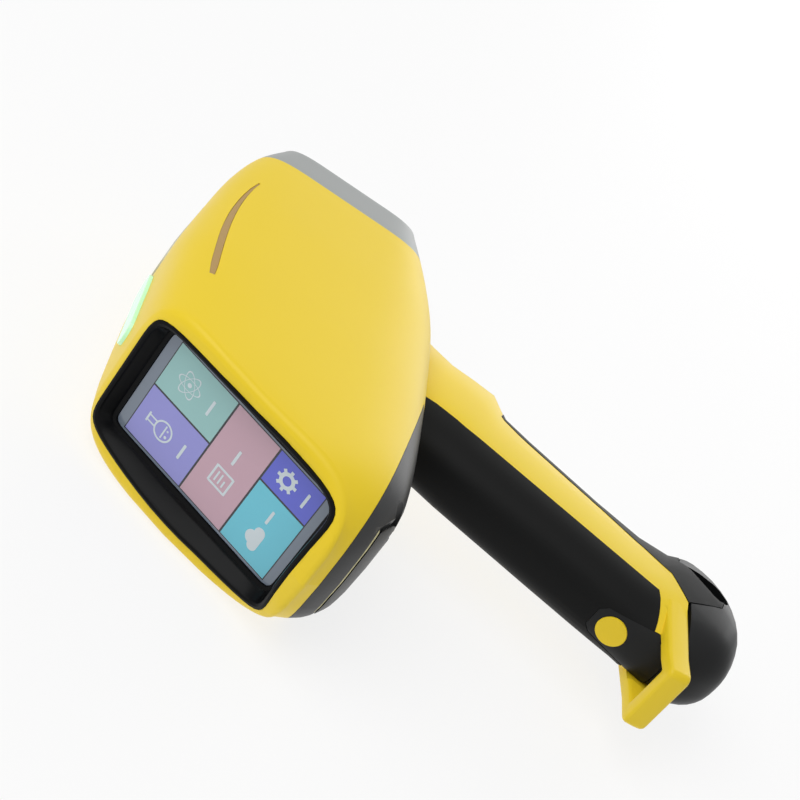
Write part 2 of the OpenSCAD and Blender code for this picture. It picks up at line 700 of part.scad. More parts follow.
// Outline of the latch panel seen from behind, grown by d
module panel_prism(d, from, to) {
    grip_frame() translate([from, 0, 0]) rotate([90, 0, 90]) linear_extrude(to - from) polygon([
        [5 + d, panel_top + d], [8 + d, panel_top - 3 + d], [panel_y + d, toe - 9.7], [panel_y + d, toe - 40],
        [-panel_y - d, toe - 40], [-panel_y - d, toe - 9.7], [-8 - d, panel_top - 3 + d],
        [-5 - d, panel_top + d]]);
}
module cover_wall(proud = 0, n = 44) {
    difference() {
        grip_solid(n = n, inset = -proud);
        grip_solid(n = 32, inset = cover_t, to = grip_end - 3);
    }
}
module rear_grip() {
    back = concat([[-60, 20]], [for (p = stripe_back) [p[0] - fit, min(20, p[1])]],
        [for (p = arm_top) p + [-fit, fit]], [[-60, toe - 25]]);
    color([0.08, 0.08, 0.08]) difference() {
        grip_frame() intersection() {
            cover_wall(0.25);
            side_prism(back);
        }
        panel_prism(fit, -grip_back - 1, -6);
        head_solid(n = 48, inset = -0.2, step = 2);
    }
}
module latch_panel() {
    color(dark) intersection() {
        panel_prism(0, -60, -6 - fit);
        latch_plate();
    }
}
module latch_plate() {
    grip_frame() difference() {
        intersection() {
            cover_wall(0.1);
            side_prism([[-60, 20], [-6 - 2 * fit, 20], [-6 - 2 * fit, toe - 13.7], [-30, toe - 21.2], [-60, toe - 30]]);
        }
        translate([0, 0, latch_z]) rotate([0, 90, 0]) {
            translate([0, 0, -60]) cylinder(h = 55, d = latch_d + 2 * play, $fn = 64);
            translate([0, 0, flange_x - 0.3]) cylinder(h = 20, d = latch_d + 3, $fn = 64);
        }
        translate([core_x, 0, toe - 60]) linear_extrude(120) cell_outline(core_r + fit, cell_pitch);
    }
}
module front_grip() {
    low = toe - 26;
    outline = concat([[60, -43.5 - fit], [22 + fit, -43.5 - fit]],
        [for (i = [3:-1:0]) front_line[i] + [fit, 0]],
        [[-1 + 2 * fit, toe - 12.2], [12.2, low], [24, low], [24, toe + fit], [60, toe + fit]]);
    color([0.08, 0.08, 0.08]) grip_frame() difference() {
        union() {
            intersection() {
                cover_wall(0.25);
                side_prism(outline);
            }
            // Step above the toe and the wall in front of the battery
            intersection() {
                grip_solid(n = 44);
                union() {
                    translate([battery_front, -40, toe + fit]) cube([40, 80, 2.4]);
                    translate([battery_front, -40, low]) cube([24 - battery_front, 80, -low + toe + 1]);
                }
            }
        }
        for (s = [-1, 1]) scoop(s, 0);
    }
}
// Finger scoop on each side between the grip and the battery toe
scoop_y = 14;
module scoop(side, d) {
    translate([0, side * (scoop_y + 20), 0]) side_prism([[24.4, toe - 3.5], [21, toe - 10],
        [16.5, toe - 20], [16, toe - 24], [18, toe - 27], [21.5, toe - 28], [25, toe - 26],
        [27, toe - 20], [26.2, toe - 10]], 20);
}

// ---------------------------------------------------------------- battery
cell_pitch = cell_d + 0.1;
core_x = 1.4;
case_r = cell_d / 2 + 0.1 + case_t;
bay_r = case_r + run;
core_r = bay_r + 1.8;
battery_front = core_x + cell_pitch / 2 + bay_r;
case_low = toe - 6;
case_top = case_low + case_l;
core_low = toe + 3.2;
bay_top = case_top + 2.3;
module battery_case() {
    color([0.25, 0.25, 0.27]) grip_frame() translate([core_x, 0, case_low]) difference() {
        linear_extrude(case_l) cell_outline(case_r, cell_pitch);
        translate([0, 0, case_t + 1]) linear_extrude(case_l - 2 * case_t - 2)
            cell_outline(case_r - case_t, cell_pitch);
        for (i = [-1.5:1:1.5]) translate([i * 6 - 1.5, -4, case_l - 0.6]) cube([3, 8, 1]);
    }
}
module battery_cells() {
    room = case_l - 2 * case_t - 2;
    color("steelblue") grip_frame() for (i = [-1, 1], j = [0, 1])
        translate([core_x + i * cell_pitch / 2, 0, case_low + case_t + 1 + j * room / 2])
            cylinder(h = room / 2, d = cell_d, $fn = 48);
}
module base_cap() {
    low = toe - 26;
    outline = [[-60, toe - 30.2], [-30, toe - 21.6], [-1, toe - 12.6], [12.2, low - run],
        [24 + run, low - run], [24 + run, toe - run], [60, toe - run], [60, toe - 60], [-60, toe - 60]];
    color([0.09, 0.09, 0.1]) grip_frame() difference() {
        union() {
            intersection() {
                grip_solid(n = 48, from = 9, step = 2);
                side_prism(outline);
            }
            // Neck under the battery case
            translate([core_x, 0, toe - 32]) linear_extrude(32 - 6) cell_outline(case_r, cell_pitch);
        }
        translate([0, 0, -0.4]) for (s = [-1, 1]) scoop(s, 0);
        translate([core_x - 4, 0, toe - 38]) linear_extrude(30) cell_outline(case_r - 4, cell_pitch - 4);
        bow_room(1);
        bow_room(-1);
    }
}
// Room for the loop over the battery base
bow_in = bow_out - loop_bar - run;
module bow_room(side) {
    translate([-5, 0, bow_z]) rotate([0, -bow_slope, 0])
        translate([-bow_reach, side > 0 ? bow_in : -bow_in - 20, -loop_rise / 2 - run])
            cube([bow_reach + 6, 20, loop_rise + 2 * run]);
}

// ---------------------------------------------------------------- release button
latch_z = toe + latch_up;
core_back = core_x - cell_pitch / 2 - core_r;
seat_back = core_back - 0.5;
flange_x = -grip_back + cover_t + 0.3;
button_face = -grip_back - 0.4;
module latch_button() {
    color(yellow) grip_frame() translate([0, 0, latch_z]) rotate([0, 90, 0]) difference() {
        union() {
            translate([0, 0, button_face]) cylinder(h = flange_x + 1 - button_face, d = latch_d, $fn = 64);
            translate([0, 0, flange_x]) cylinder(h = 1, d = latch_d + 2.2, $fn = 64);
        }
        translate([0, 0, -grip_back + 1.1]) cylinder(h = 20, r = 3.4, $fn = 32);
    }
}
module latch_spring() {
    color("silver") grip_frame() translate([-grip_back + 1.15, 0, latch_z]) rotate([0, 90, 0])
        coil(seat_back + grip_back - 1.2, 2.7, 0.3, 4);
}

// ---------------------------------------------------------------- trigger
trig_pin_reach = slot_w / 2 + 1.7;
module trigger() {
    blade = [[25.6, 5], [25.4, 0], [26.7, -8], [28.7, -20], [30.2, -31], [33, -34.6], [37, -36.4],
        [41.5, -36.9], [44, -36.2], [45, -34], [44.6, -31], [42.9, -27.5], [41.9, -23], [41.5, -18],
        [41.2, -13], [39.8, -8.5], [37.2, -5], [34.6, -1.5], [33, 3.5]];
    color(dark) grip_frame() difference() {
        union() {
            rotate([90, 0, 0]) linear_extrude(trig_w, center = true) {
                difference() {
                    offset(r = 1.2, $fn = 24) offset(delta = -1.2) polygon(blade);
                    circle(0.01, $fn = 12);
                }
            }
            translate([trig_x, 0, trig_z]) rotate([90, 0, 0])
                cylinder(h = trig_w, r = 4.2, center = true, $fn = 48);
        }
        translate([trig_x, 0, trig_z]) rotate([90, 0, 0])
            cylinder(h = trig_w + 2, d = trig_pin_d + 2 * play, center = true, $fn = 48);
        translate([20, 0, -25]) rotate([0, 90, 0]) cylinder(h = 13, r = 2.6, $fn = 32);
    }
}
module trigger_pin() {
    color("silver") grip_frame() translate([trig_x, 0, trig_z]) rotate([90, 0, 0])
        cylinder(h = 2 * trig_pin_reach - 0.2, d = trig_pin_d, center = true, $fn = 48);
}
core_face = core_x + cell_pitch / 2 + core_r;
module trigger_spring() {
    color("silver") grip_frame() translate([core_face + play, 0, -25]) rotate([0, 90, 0])
        coil(32.9 - core_face - play, 2, 0.3, 5);
}
switch_x = core_face + 1.3;
module trigger_switch() {
    color("firebrick") grip_frame() {
        translate([switch_x, -3, trig_z + 5.4]) cube([10.5, 6, 5.6]);
        translate([trig_x - 1, -1.2, trig_z + 4.6]) cube([2, 2.4, 0.8 + eps]);
    }
}

// ---------------------------------------------------------------- grip core
core_top = 24;
function grip_outline(z, inset) =
    let (v = at_z(grip_keys, z), xc = (v[1] + v[2]) / 2, a = (v[2] - v[1]) / 2 - inset)
    [for (i = [0:43]) let (t = 360 * i / 44)
        [xc + a * spow(cos(t), 2 / 2.6), (v[3] - inset) * spow(sin(t), 2 / 2.6)]];
module grip_core() {
    color([0.3, 0.3, 0.32]) grip_frame() difference() {
        union() {
            translate([core_x, 0, core_low]) linear_extrude(core_top - core_low)
                cell_outline(core_r, cell_pitch);
            for (z = [-53, -88, toe + 24.5]) translate([0, 0, z - 1.2]) linear_extrude(2.4)
                polygon(grip_outline(z, cover_t + 0.3));
            translate([core_x - 23, -17, core_top - 3]) cube([46, 34, 3]);
            // Spring seat behind the release button and pad of the trigger switch
            translate([seat_back, 0, latch_z]) rotate([0, 90, 0]) cylinder(h = 4, r = 3, $fn = 32);
            translate([core_face - 6, -4, trig_z + 5.4]) cube([6 + 1.3, 8, 5.6]);
        }
        translate([core_x, 0, core_low - 1]) linear_extrude(bay_top - core_low + 1)
            cell_outline(bay_r, cell_pitch);
        translate([core_x, 0, bay_top + 2.4]) linear_extrude(80) cell_outline(7, cell_pitch);
        translate([core_x - 3, -3, bay_top - 1]) cube([6, 6, 5]);
    }
}
module battery_contacts() {
    color("gold") grip_frame() translate([core_x, 0, case_top + 0.7]) {
        translate([-12, -5.5, 0]) cube([24, 11, bay_top - case_top - 0.7]);
        translate([-2.5, -2.5, bay_top - case_top - 0.7 - eps]) cube([5, 5, 4]);
    }
}

// ---------------------------------------------------------------- measuring unit
tube_tilt = 18;
detector_tilt = 35;
tube_from = 36;
chassis_y = -16;
inner_y = chassis_y + chassis_t;
module tube_frame() { rotate([0, tube_tilt - 90, 0]) children(); }
module detector_frame() { rotate([0, -90 - detector_tilt, 0]) children(); }
function grip_pt(x, z) = [grip_x + x * cos(rake) + z * sin(rake), grip_z - x * sin(rake) + z * cos(rake)];
sink_top = head_top - wall - 2.8;
sink_low = sink_top - 6;
tube_to = tube_from + tube_l;
module chassis() {
    side = [[-plate_t - 2.5, -18], [-plate_t - 2.5, 14], [-30, 29], [-58, sink_low], [-106, sink_low],
        [-146, sink_low - 4], [-150, 8], [-148, -22], grip_pt(-21, core_top + 1),
        grip_pt(21, core_top + 1), [-40, -34]];
    color([0.75, 0.76, 0.78]) difference() {
        union() {
            translate([0, chassis_y + chassis_t, 0]) rotate([90, 0, 0])
                linear_extrude(chassis_t) polygon(side);
            grip_frame() translate([core_x - 22, chassis_y, core_top]) cube([44, 32, chassis_t]);
            // Saddles of the tube
            tube_frame() for (d = [tube_from + 12, tube_to - 16]) difference() {
                translate([-8, inner_y - eps, d]) cube([16, 8, 6]);
                cylinder(h = 200, d = tube_d + 2 * play, $fn = 64);
            }
            // Stand-offs of the main board
            for (p = board_posts()) translate([p[0], chassis_y - 4, p[1]]) rotate([-90, 0, 0])
                cylinder(h = 4 + eps, r = 2.6, $fn = 24);
            // Arm of the detector
            detector_frame() translate([-8, inner_y - eps, 40]) cube([16, 6, 10]);
        }
        for (p = board_posts()) translate([p[0], chassis_y - 5, p[1]]) rotate([-90, 0, 0])
            cylinder(h = 12, r = 1.2, $fn = 24);
        for (x = [-64, -100, -124]) translate([x, 0, -12]) rotate([90, 0, 0])
            cylinder(h = 60, r = 7, center = true, $fn = 48);
        detector_frame() cylinder(h = 120, d = detector_d + 2 * play, $fn = 48);
        grip_frame() translate([core_x, 0, 0]) linear_extrude(60) cell_outline(7, cell_pitch);
    }
}
function board_posts() = [[-50, -20], [-50, 22], [-134, -14], [-134, 22]];
module snout() {
    body = [[-plate_t - 1 - play, 14], [-27.6, 19.5], [-34.2, -1], [-29.3, -9.5], [-19.2, -24],
        [-plate_t - 1 - play, -14]];
    color([0.8, 0.8, 0.82]) difference() {
        translate([0, 7, 0]) rotate([90, 0, 0]) linear_extrude(7 - inner_y) polygon(body);
        translate([-plate_t - window_boss - 1.8, 0, 0]) rotate([0, 90, 0])
            cylinder(h = 10, r = window_d / 2 + 3.4, $fn = 48);
        tube_frame() cylinder(h = 80, r = 3, $fn = 32);
        detector_frame() cylinder(h = 80, r = 4.4, $fn = 32);
        tube_frame() translate([0, wheel_off, 12]) cylinder(h = 40, r = 5.6, $fn = 32);
    }
}
module xray_tube() {
    color([0.55, 0.56, 0.58]) tube_frame() difference() {
        union() {
            translate([0, 0, tube_from]) cylinder(h = tube_l, d = tube_d, $fn = 64);
            translate([0, 0, tube_to]) cylinder(h = 3, r = 5, $fn = 32);
        }
        translate([0, 0, tube_from - 1]) cylinder(h = 4, r = 3.5, $fn = 32);
        for (i = [0:3]) translate([0, 0, tube_from + 24 + 4 * i]) difference() {
            cylinder(h = 1.8, r = tube_d, $fn = 32);
            translate([0, 0, -1]) cylinder(h = 4, r = tube_d / 2 - 1.2, $fn = 64);
        }
    }
}
module hv_supply() {
    color([0.2, 0.2, 0.24]) difference() {
        translate([-145, inner_y, 4]) cube([42, 29, sink_low - 8]);
        for (z = [12, 28]) translate([-150, 0, z]) rotate([0, 90, 0]) cylinder(h = 10, r = 2, $fn = 24);
    }
}
module detector() {
    color([0.85, 0.75, 0.4]) detector_frame() {
        translate([0, 0, 30]) cylinder(h = 26, d = detector_d, $fn = 64);
        translate([-9, inner_y, 56]) cube([18, 9 - inner_y, 9]);
    }
}
wheel_off = 12;
wheel_at = 33.2;
module filter_wheel() {
    color([0.7, 0.55, 0.3]) tube_frame() translate([0, wheel_off, wheel_at]) difference() {
        cylinder(h = wheel_t, r = wheel_r, $fn = 72);
        translate([0, 0, -1]) cylinder(h = 8, r = 1.5 + play, $fn = 32);
        for (i = [0:filters - 1]) rotate([0, 0, -90 + 360 * i / filters])
            translate([wheel_off, 0, -1]) cylinder(h = 8, r = 2.8, $fn = 32);
    }
}
module filter_motor() {
    color([0.6, 0.6, 0.62]) tube_frame() translate([0, wheel_off, 0]) {
        translate([0, 0, 16]) cylinder(h = wheel_at - 16 - 0.5, r = 5.4, $fn = 48);
        translate([0, 0, wheel_at - 1]) cylinder(h = wheel_t + 1.4, r = 1.5, $fn = 32);
    }
}
module camera() {
    color([0.15, 0.15, 0.17]) {
        translate([-22, 7, -19]) cube([11, 9, 9]);
        translate([-11 - eps, 11.5, -14.5]) rotate([0, 90, 0]) cylinder(h = 3, r = 3, $fn = 32);
    }
}
module main_board() {
    color([0.1, 0.4, 0.2]) {
        difference() {
            translate([-139, chassis_y - 4 - board_t, -24]) cube([94, board_t, 50]);
            for (p = board_posts()) translate([p[0], chassis_y - 10, p[1]]) rotate([-90, 0, 0])
                cylinder(h = 12, r = 1.2, $fn = 24);
        }
        for (p = [[-120, -8, 22, 18], [-92, 4, 14, 14], [-88, -18, 18, 12], [-64, -4, 10, 16]])
            translate([p[0], chassis_y - 4 - board_t - 2, p[1]]) cube([p[2], 2 + eps, p[3]]);
    }
}
module heat_sink() {
    color([0.78, 0.79, 0.8]) difference() {
        translate([-104, chassis_y, sink_low]) cube([40, 30, 6]);
        for (i = [0:5]) translate([-110, chassis_y + 2.6 + 4.6 * i, sink_low + 1.8]) cube([60, 2.4, 10]);
        tube_frame() cylinder(h = 200, d = tube_d + 2 * run, $fn = 64);
    }
}

// ---------------------------------------------------------------- closing screws
function screw_rows() = [[2, head_top - 10.5], [6.6, head_top - 8.5], [1.55, -48], [6.9, -50]];
module screw_line(p, side) {
    translate([row_x(p[0], p[1]), 0, p[1]]) rotate([-90 * side, 0, 0]) children();
}
module shell_screws() {
    color("silver") for (p = screw_rows()) {
        face = side_y(p[0], p[1]) - 2.2;
        screw_line(p, 1) difference() {
            union() {
                translate([0, 0, -10]) cylinder(h = 10 + face, r = 1.5, $fn = 24);
                translate([0, 0, face - 2.2]) cylinder(h = 2.2, r = 2.8, $fn = 32);
            }
            translate([0, 0, face - 1.2]) cylinder(h = 2, r = 1.4, $fn = 6);
        }
    }
}

shell_left();
shell_right();
nose_cap();
nose_plate();
window_film();
plate_screws();
top_plate();
status_light();
lamp_left();
lamp_right();
bezel();
screen_glass();
lcd_module();
display_board();
belly_cover();
port_block();
port_door();
door_seal();
door_pin();
rear_grip();
front_grip();
latch_panel();
latch_button();
latch_spring();
trigger();
trigger_pin();
trigger_spring();
trigger_switch();
grip_core();
battery_contacts();
battery_case();
battery_cells();
base_cap();
chassis();
snout();
xray_tube();
hv_supply();
detector();
filter_wheel();
filter_motor();
camera();
main_board();
heat_sink();
shell_screws();
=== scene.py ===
import math

import bpy
from bpy.props import FloatProperty, FloatVectorProperty, PointerProperty
from bpy.types import Operator, Panel, PropertyGroup
from mathutils import Matrix, Vector


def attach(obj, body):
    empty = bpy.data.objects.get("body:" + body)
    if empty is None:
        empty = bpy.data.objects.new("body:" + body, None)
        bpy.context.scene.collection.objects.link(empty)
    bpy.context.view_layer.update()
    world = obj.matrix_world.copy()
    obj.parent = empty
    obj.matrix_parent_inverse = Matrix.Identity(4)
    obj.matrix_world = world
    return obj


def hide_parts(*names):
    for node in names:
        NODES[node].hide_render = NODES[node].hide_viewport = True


bl_info = {
    "name": "Handheld Analyzer Builder",
    "version": (1, 0, 0),
    "blender": (4, 5, 0),
    "location": "View3D > Sidebar > Analyzer",
    "description": "Dresses the packed handheld analyzer with its finishes, screen picture and stage",
    "category": "Object",
}

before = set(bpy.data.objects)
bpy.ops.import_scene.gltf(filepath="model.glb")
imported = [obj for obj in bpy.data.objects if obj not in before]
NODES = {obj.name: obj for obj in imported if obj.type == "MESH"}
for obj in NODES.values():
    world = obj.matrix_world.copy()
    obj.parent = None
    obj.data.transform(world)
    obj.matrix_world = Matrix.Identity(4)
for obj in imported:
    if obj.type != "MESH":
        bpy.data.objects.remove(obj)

# The screen leans back: its middle, and the directions to the right, upwards and outwards
SCREEN_MIDDLE = Vector((-0.192, 0.0, -0.012))
SCREEN_RIGHT = Vector((0.0, -1.0, 0.0))
SCREEN_UP = Vector((0.41151, 0.0, 0.91140))
SCREEN_OUT = Vector((-0.91140, 0.0, 0.41151))
# The left flank of the head reaches 42.03 mm from the middle: the table lies just past it
TABLE_SIDE = 0.0427
TABLE_SPAN = 8.0
# Share of plain white in the table where the camera or a reflection looks at it
TABLE_WHITE = 0.80


def screen_matrix():
    m = Matrix((SCREEN_RIGHT, SCREEN_UP, SCREEN_OUT)).transposed().to_4x4()
    m.translation = SCREEN_MIDDLE
    return m


# ------------------------------------------------------------------ settings
class AnalyzerFinish(PropertyGroup):
    shell_yellow: FloatVectorProperty(
        name="Shell yellow", description="Colour of the moulded shells", subtype="COLOR",
        size=3, min=0, max=1, default=(0.90, 0.655, 0.022))
    nose_grey: FloatVectorProperty(
        name="Nose grey", description="Colour of the nose cap and the crown insert", subtype="COLOR",
        size=3, min=0, max=1, default=(0.33, 0.345, 0.34))
    trim_black: FloatVectorProperty(
        name="Trim black", description="Colour of the hard black mouldings", subtype="COLOR",
        size=3, min=0, max=1, default=(0.010, 0.0105, 0.011))
    rubber_black: FloatVectorProperty(
        name="Rubber black", description="Colour of the soft grip covers", subtype="COLOR",
        size=3, min=0, max=1, default=(0.0040, 0.0042, 0.0042))
    grain: FloatProperty(
        name="Grain", description="Size of the moulded grain", subtype="DISTANCE",
        min=0.0002, max=0.005, default=0.0007)


class AnalyzerScreen(PropertyGroup):
    field_width: FloatProperty(
        name="Field width", description="Width of the picture on the screen", subtype="DISTANCE",
        min=0.03, max=0.053, default=0.0507)
    field_height: FloatProperty(
        name="Field height", description="Height of the picture on the screen", subtype="DISTANCE",
        min=0.06, max=0.092, default=0.0852)
    field_rise: FloatProperty(
        name="Field rise", description="Middle of the picture above the middle of the glass",
        subtype="DISTANCE", min=-0.005, max=0.005, default=-0.0004)
    tile_gap: FloatProperty(
        name="Tile gap", description="Dark gap between two tiles", subtype="DISTANCE",
        min=0.0002, max=0.003, default=0.0009)
    violet: FloatVectorProperty(
        name="Violet tile", description="Colour of the tile at the upper left", subtype="COLOR",
        size=3, min=0, max=1, default=(0.27, 0.27, 0.64))
    teal: FloatVectorProperty(
        name="Teal tile", description="Colour of the tile at the upper right", subtype="COLOR",
        size=3, min=0, max=1, default=(0.28, 0.51, 0.50))
    rose: FloatVectorProperty(
        name="Rose tile", description="Colour of the wide tile in the middle", subtype="COLOR",
        size=3, min=0, max=1, default=(0.53, 0.34, 0.41))
    cyan: FloatVectorProperty(
        name="Cyan tile", description="Colour of the tile at the lower left", subtype="COLOR",
        size=3, min=0, max=1, default=(0.13, 0.53, 0.66))
    blue: FloatVectorProperty(
        name="Blue tile", description="Colour of the tile at the lower right", subtype="COLOR",
        size=3, min=0, max=1, default=(0.10, 0.12, 0.60))


class AnalyzerStage(PropertyGroup):
    lens: FloatProperty(
        name="Lens", description="Focal length of the camera in millimetres", min=20, max=300,
        default=90.67)
    key: FloatProperty(
        name="Key light", description="Power of the large light over the table in watts",
        min=0, max=200, default=9.5)
    fill: FloatProperty(
        name="Fill light", description="Power of the light on the far side in watts",
        min=0, max=200, default=5.0)
    sky: FloatProperty(
        name="Sky", description="Strength of the even light from all round", min=0, max=2,
        default=0.42)


# ------------------------------------------------------------------ mesh helpers
def let_go():
    if bpy.context.mode != "OBJECT":
        bpy.ops.object.mode_set(mode="OBJECT")
    bpy.ops.object.select_all(action="DESELECT")


def take(piece):
    let_go()
    piece.select_set(True)
    bpy.context.view_layer.objects.active = piece


def settle(piece, matrix=None):
    """Puts a piece at its place in the frame and moves that place into its mesh."""
    if matrix is not None:
        piece.matrix_world = matrix @ piece.matrix_basis
    take(piece)
    bpy.ops.object.transform_apply(location=True, rotation=True, scale=True)


def select_faces(piece, test):
    """In edit mode, selects the faces whose middle and normal pass the test."""
    bpy.ops.mesh.select_all(action="DESELECT")
    bpy.ops.object.mode_set(mode="OBJECT")
    for f in piece.data.polygons:
        f.select = bool(test(f.center, f.normal))
    bpy.ops.object.mode_set(mode="EDIT")


def join(pieces, name):
    let_go()
    for p in pieces:
        p.select_set(True)
    bpy.context.view_layer.objects.active = pieces[0]
    if len(pieces) > 1:
        bpy.ops.object.join()
    whole = bpy.context.view_layer.objects.active
    whole.name = name
    whole.data.name = name
    return whole


def stagger(pieces):
    """Raises each flat piece a little above the one before, so none share a plane."""
    for i, p in enumerate(pieces):
        p.location.z += i * STEP_UP
        settle(p)
    return pieces


def plate(name, x, y, width, height, low, high, rim=0.00012, corner=0.0):
    """A thin plate in the screen's plane with a broken edge, between two heights."""
    let_go()
    bpy.ops.mesh.primitive_plane_add(size=1, location=(x, y, low))
    p = bpy.context.active_object
    p.name = name
    p.scale = (width, height, 1)
    bpy.ops.object.transform_apply(location=True, rotation=True, scale=True)
    bpy.ops.object.mode_set(mode="EDIT")
    bpy.ops.mesh.select_all(action="SELECT")
    if corner > 0:
        bpy.ops.mesh.bevel(offset=corner, offset_type="OFFSET", segments=5, affect="VERTICES")
        bpy.ops.mesh.select_all(action="SELECT")
    bpy.ops.mesh.extrude_region_move(TRANSFORM_OT_translate={"value": (0, 0, high - low)})
    bpy.ops.mesh.select_all(action="SELECT")
    bpy.ops.mesh.normals_make_consistent(inside=False)
    select_faces(p, lambda c, n: n.z > 0.9)
    if rim > 0:
        bpy.ops.mesh.bevel(offset=rim, segments=2, affect="EDGES")
    bpy.ops.object.mode_set(mode="OBJECT")
    return p


def ring(name, x, y, radius, width, low, high, steps=36):
    """A flat ring in the screen's plane, drawn up from a circle."""
    let_go()
    bpy.ops.mesh.primitive_circle_add(vertices=steps, radius=radius, fill_type="NGON",
                                      location=(x, y, low))
    p = bpy.context.active_object
    p.name = name
    bpy.ops.object.transform_apply(location=True, rotation=True, scale=True)
    bpy.ops.object.mode_set(mode="EDIT")
    bpy.ops.mesh.select_all(action="SELECT")
    bpy.ops.mesh.inset(thickness=width)
    bpy.ops.mesh.delete(type="FACE")
    bpy.ops.mesh.select_all(action="SELECT")
    bpy.ops.mesh.extrude_region_move(TRANSFORM_OT_translate={"value": (0, 0, high - low)})
    bpy.ops.mesh.select_all(action="SELECT")
    bpy.ops.mesh.normals_make_consistent(inside=False)
    bpy.ops.object.mode_set(mode="OBJECT")
    return p


def disc(name, x, y, radius, low, high, steps=28):
    """A flat round dot in the screen's plane with a broken edge."""
    let_go()
    bpy.ops.mesh.primitive_cylinder_add(vertices=steps, radius=radius, depth=high - low,
                                        location=(x, y, (low + high) / 2))
    p = bpy.context.active_object
    p.name = name
    bpy.ops.object.transform_apply(location=True, rotation=True, scale=True)
    bpy.ops.object.mode_set(mode="EDIT")
    select_faces(p, lambda c, n: n.z > 0.9)
    bpy.ops.mesh.bevel(offset=min(0.0001, radius / 4), segments=1, affect="EDGES")
    bpy.ops.object.mode_set(mode="OBJECT")
    return p


def turn(piece, angle, x, y):
    """Turns a flat piece about a point in the screen's plane."""
    take(piece)
    bpy.ops.object.mode_set(mode="EDIT")
    bpy.ops.mesh.select_all(action="SELECT")
    bpy.ops.transform.rotate(value=-angle, orient_axis="Z", center_override=(x, y, 0))
    bpy.ops.object.mode_set(mode="OBJECT")
    return piece


def squeeze(piece, factor, x, y):
    """Squeezes a flat piece across, about a point in the screen's plane."""
    take(piece)
    bpy.ops.object.mode_set(mode="EDIT")
    bpy.ops.mesh.select_all(action="SELECT")
    bpy.ops.transform.resize(value=(1, factor, 1), center_override=(x, y, 0))
    bpy.ops.object.mode_set(mode="OBJECT")
    return piece


def smooth_skin(node, angle=32.0, edge=0.0):
    """A merged copy of a moulded CAD piece whose lofted faces shade as one smooth surface."""
    source = NODES[node]
    mesh = source.data.copy()
    skin = bpy.data.objects.new(node + "_skin", mesh)
    mesh.name = node + "_skin"
    bpy.context.scene.collection.objects.link(skin)
    take(skin)
    if mesh.has_custom_normals:
        bpy.ops.mesh.customdata_custom_splitnormals_clear()
    bpy.ops.object.mode_set(mode="EDIT")
    bpy.ops.mesh.select_all(action="SELECT")
    bpy.ops.mesh.remove_doubles(threshold=0.00001)
    bpy.ops.mesh.dissolve_limited(angle_limit=math.radians(0.4), use_dissolve_boundaries=False,
                                  delimit={"NORMAL"})
    bpy.ops.object.mode_set(mode="OBJECT")
    if edge > 0:
        b = skin.modifiers.new("broken_edges", "BEVEL")
        b.width = edge
        b.segments = 2
        b.limit_method = "ANGLE"
        b.angle_limit = math.radians(50)
        b.use_clamp_overlap = True
        b.harden_normals = False
        bpy.ops.object.modifier_apply(modifier=b.name)
    bpy.ops.object.shade_smooth_by_angle(angle=math.radians(angle))
    w = skin.modifiers.new("even_normals", "WEIGHTED_NORMAL")
    w.keep_sharp = True
    w.weight = 60
    bpy.ops.object.modifier_apply(modifier=w.name)
    return skin


# ------------------------------------------------------------------ material helpers
def group_output_sockets(group, sockets):
    for name, kind, way in sockets:
        group.interface.new_socket(name=name, in_out=way, socket_type=kind)


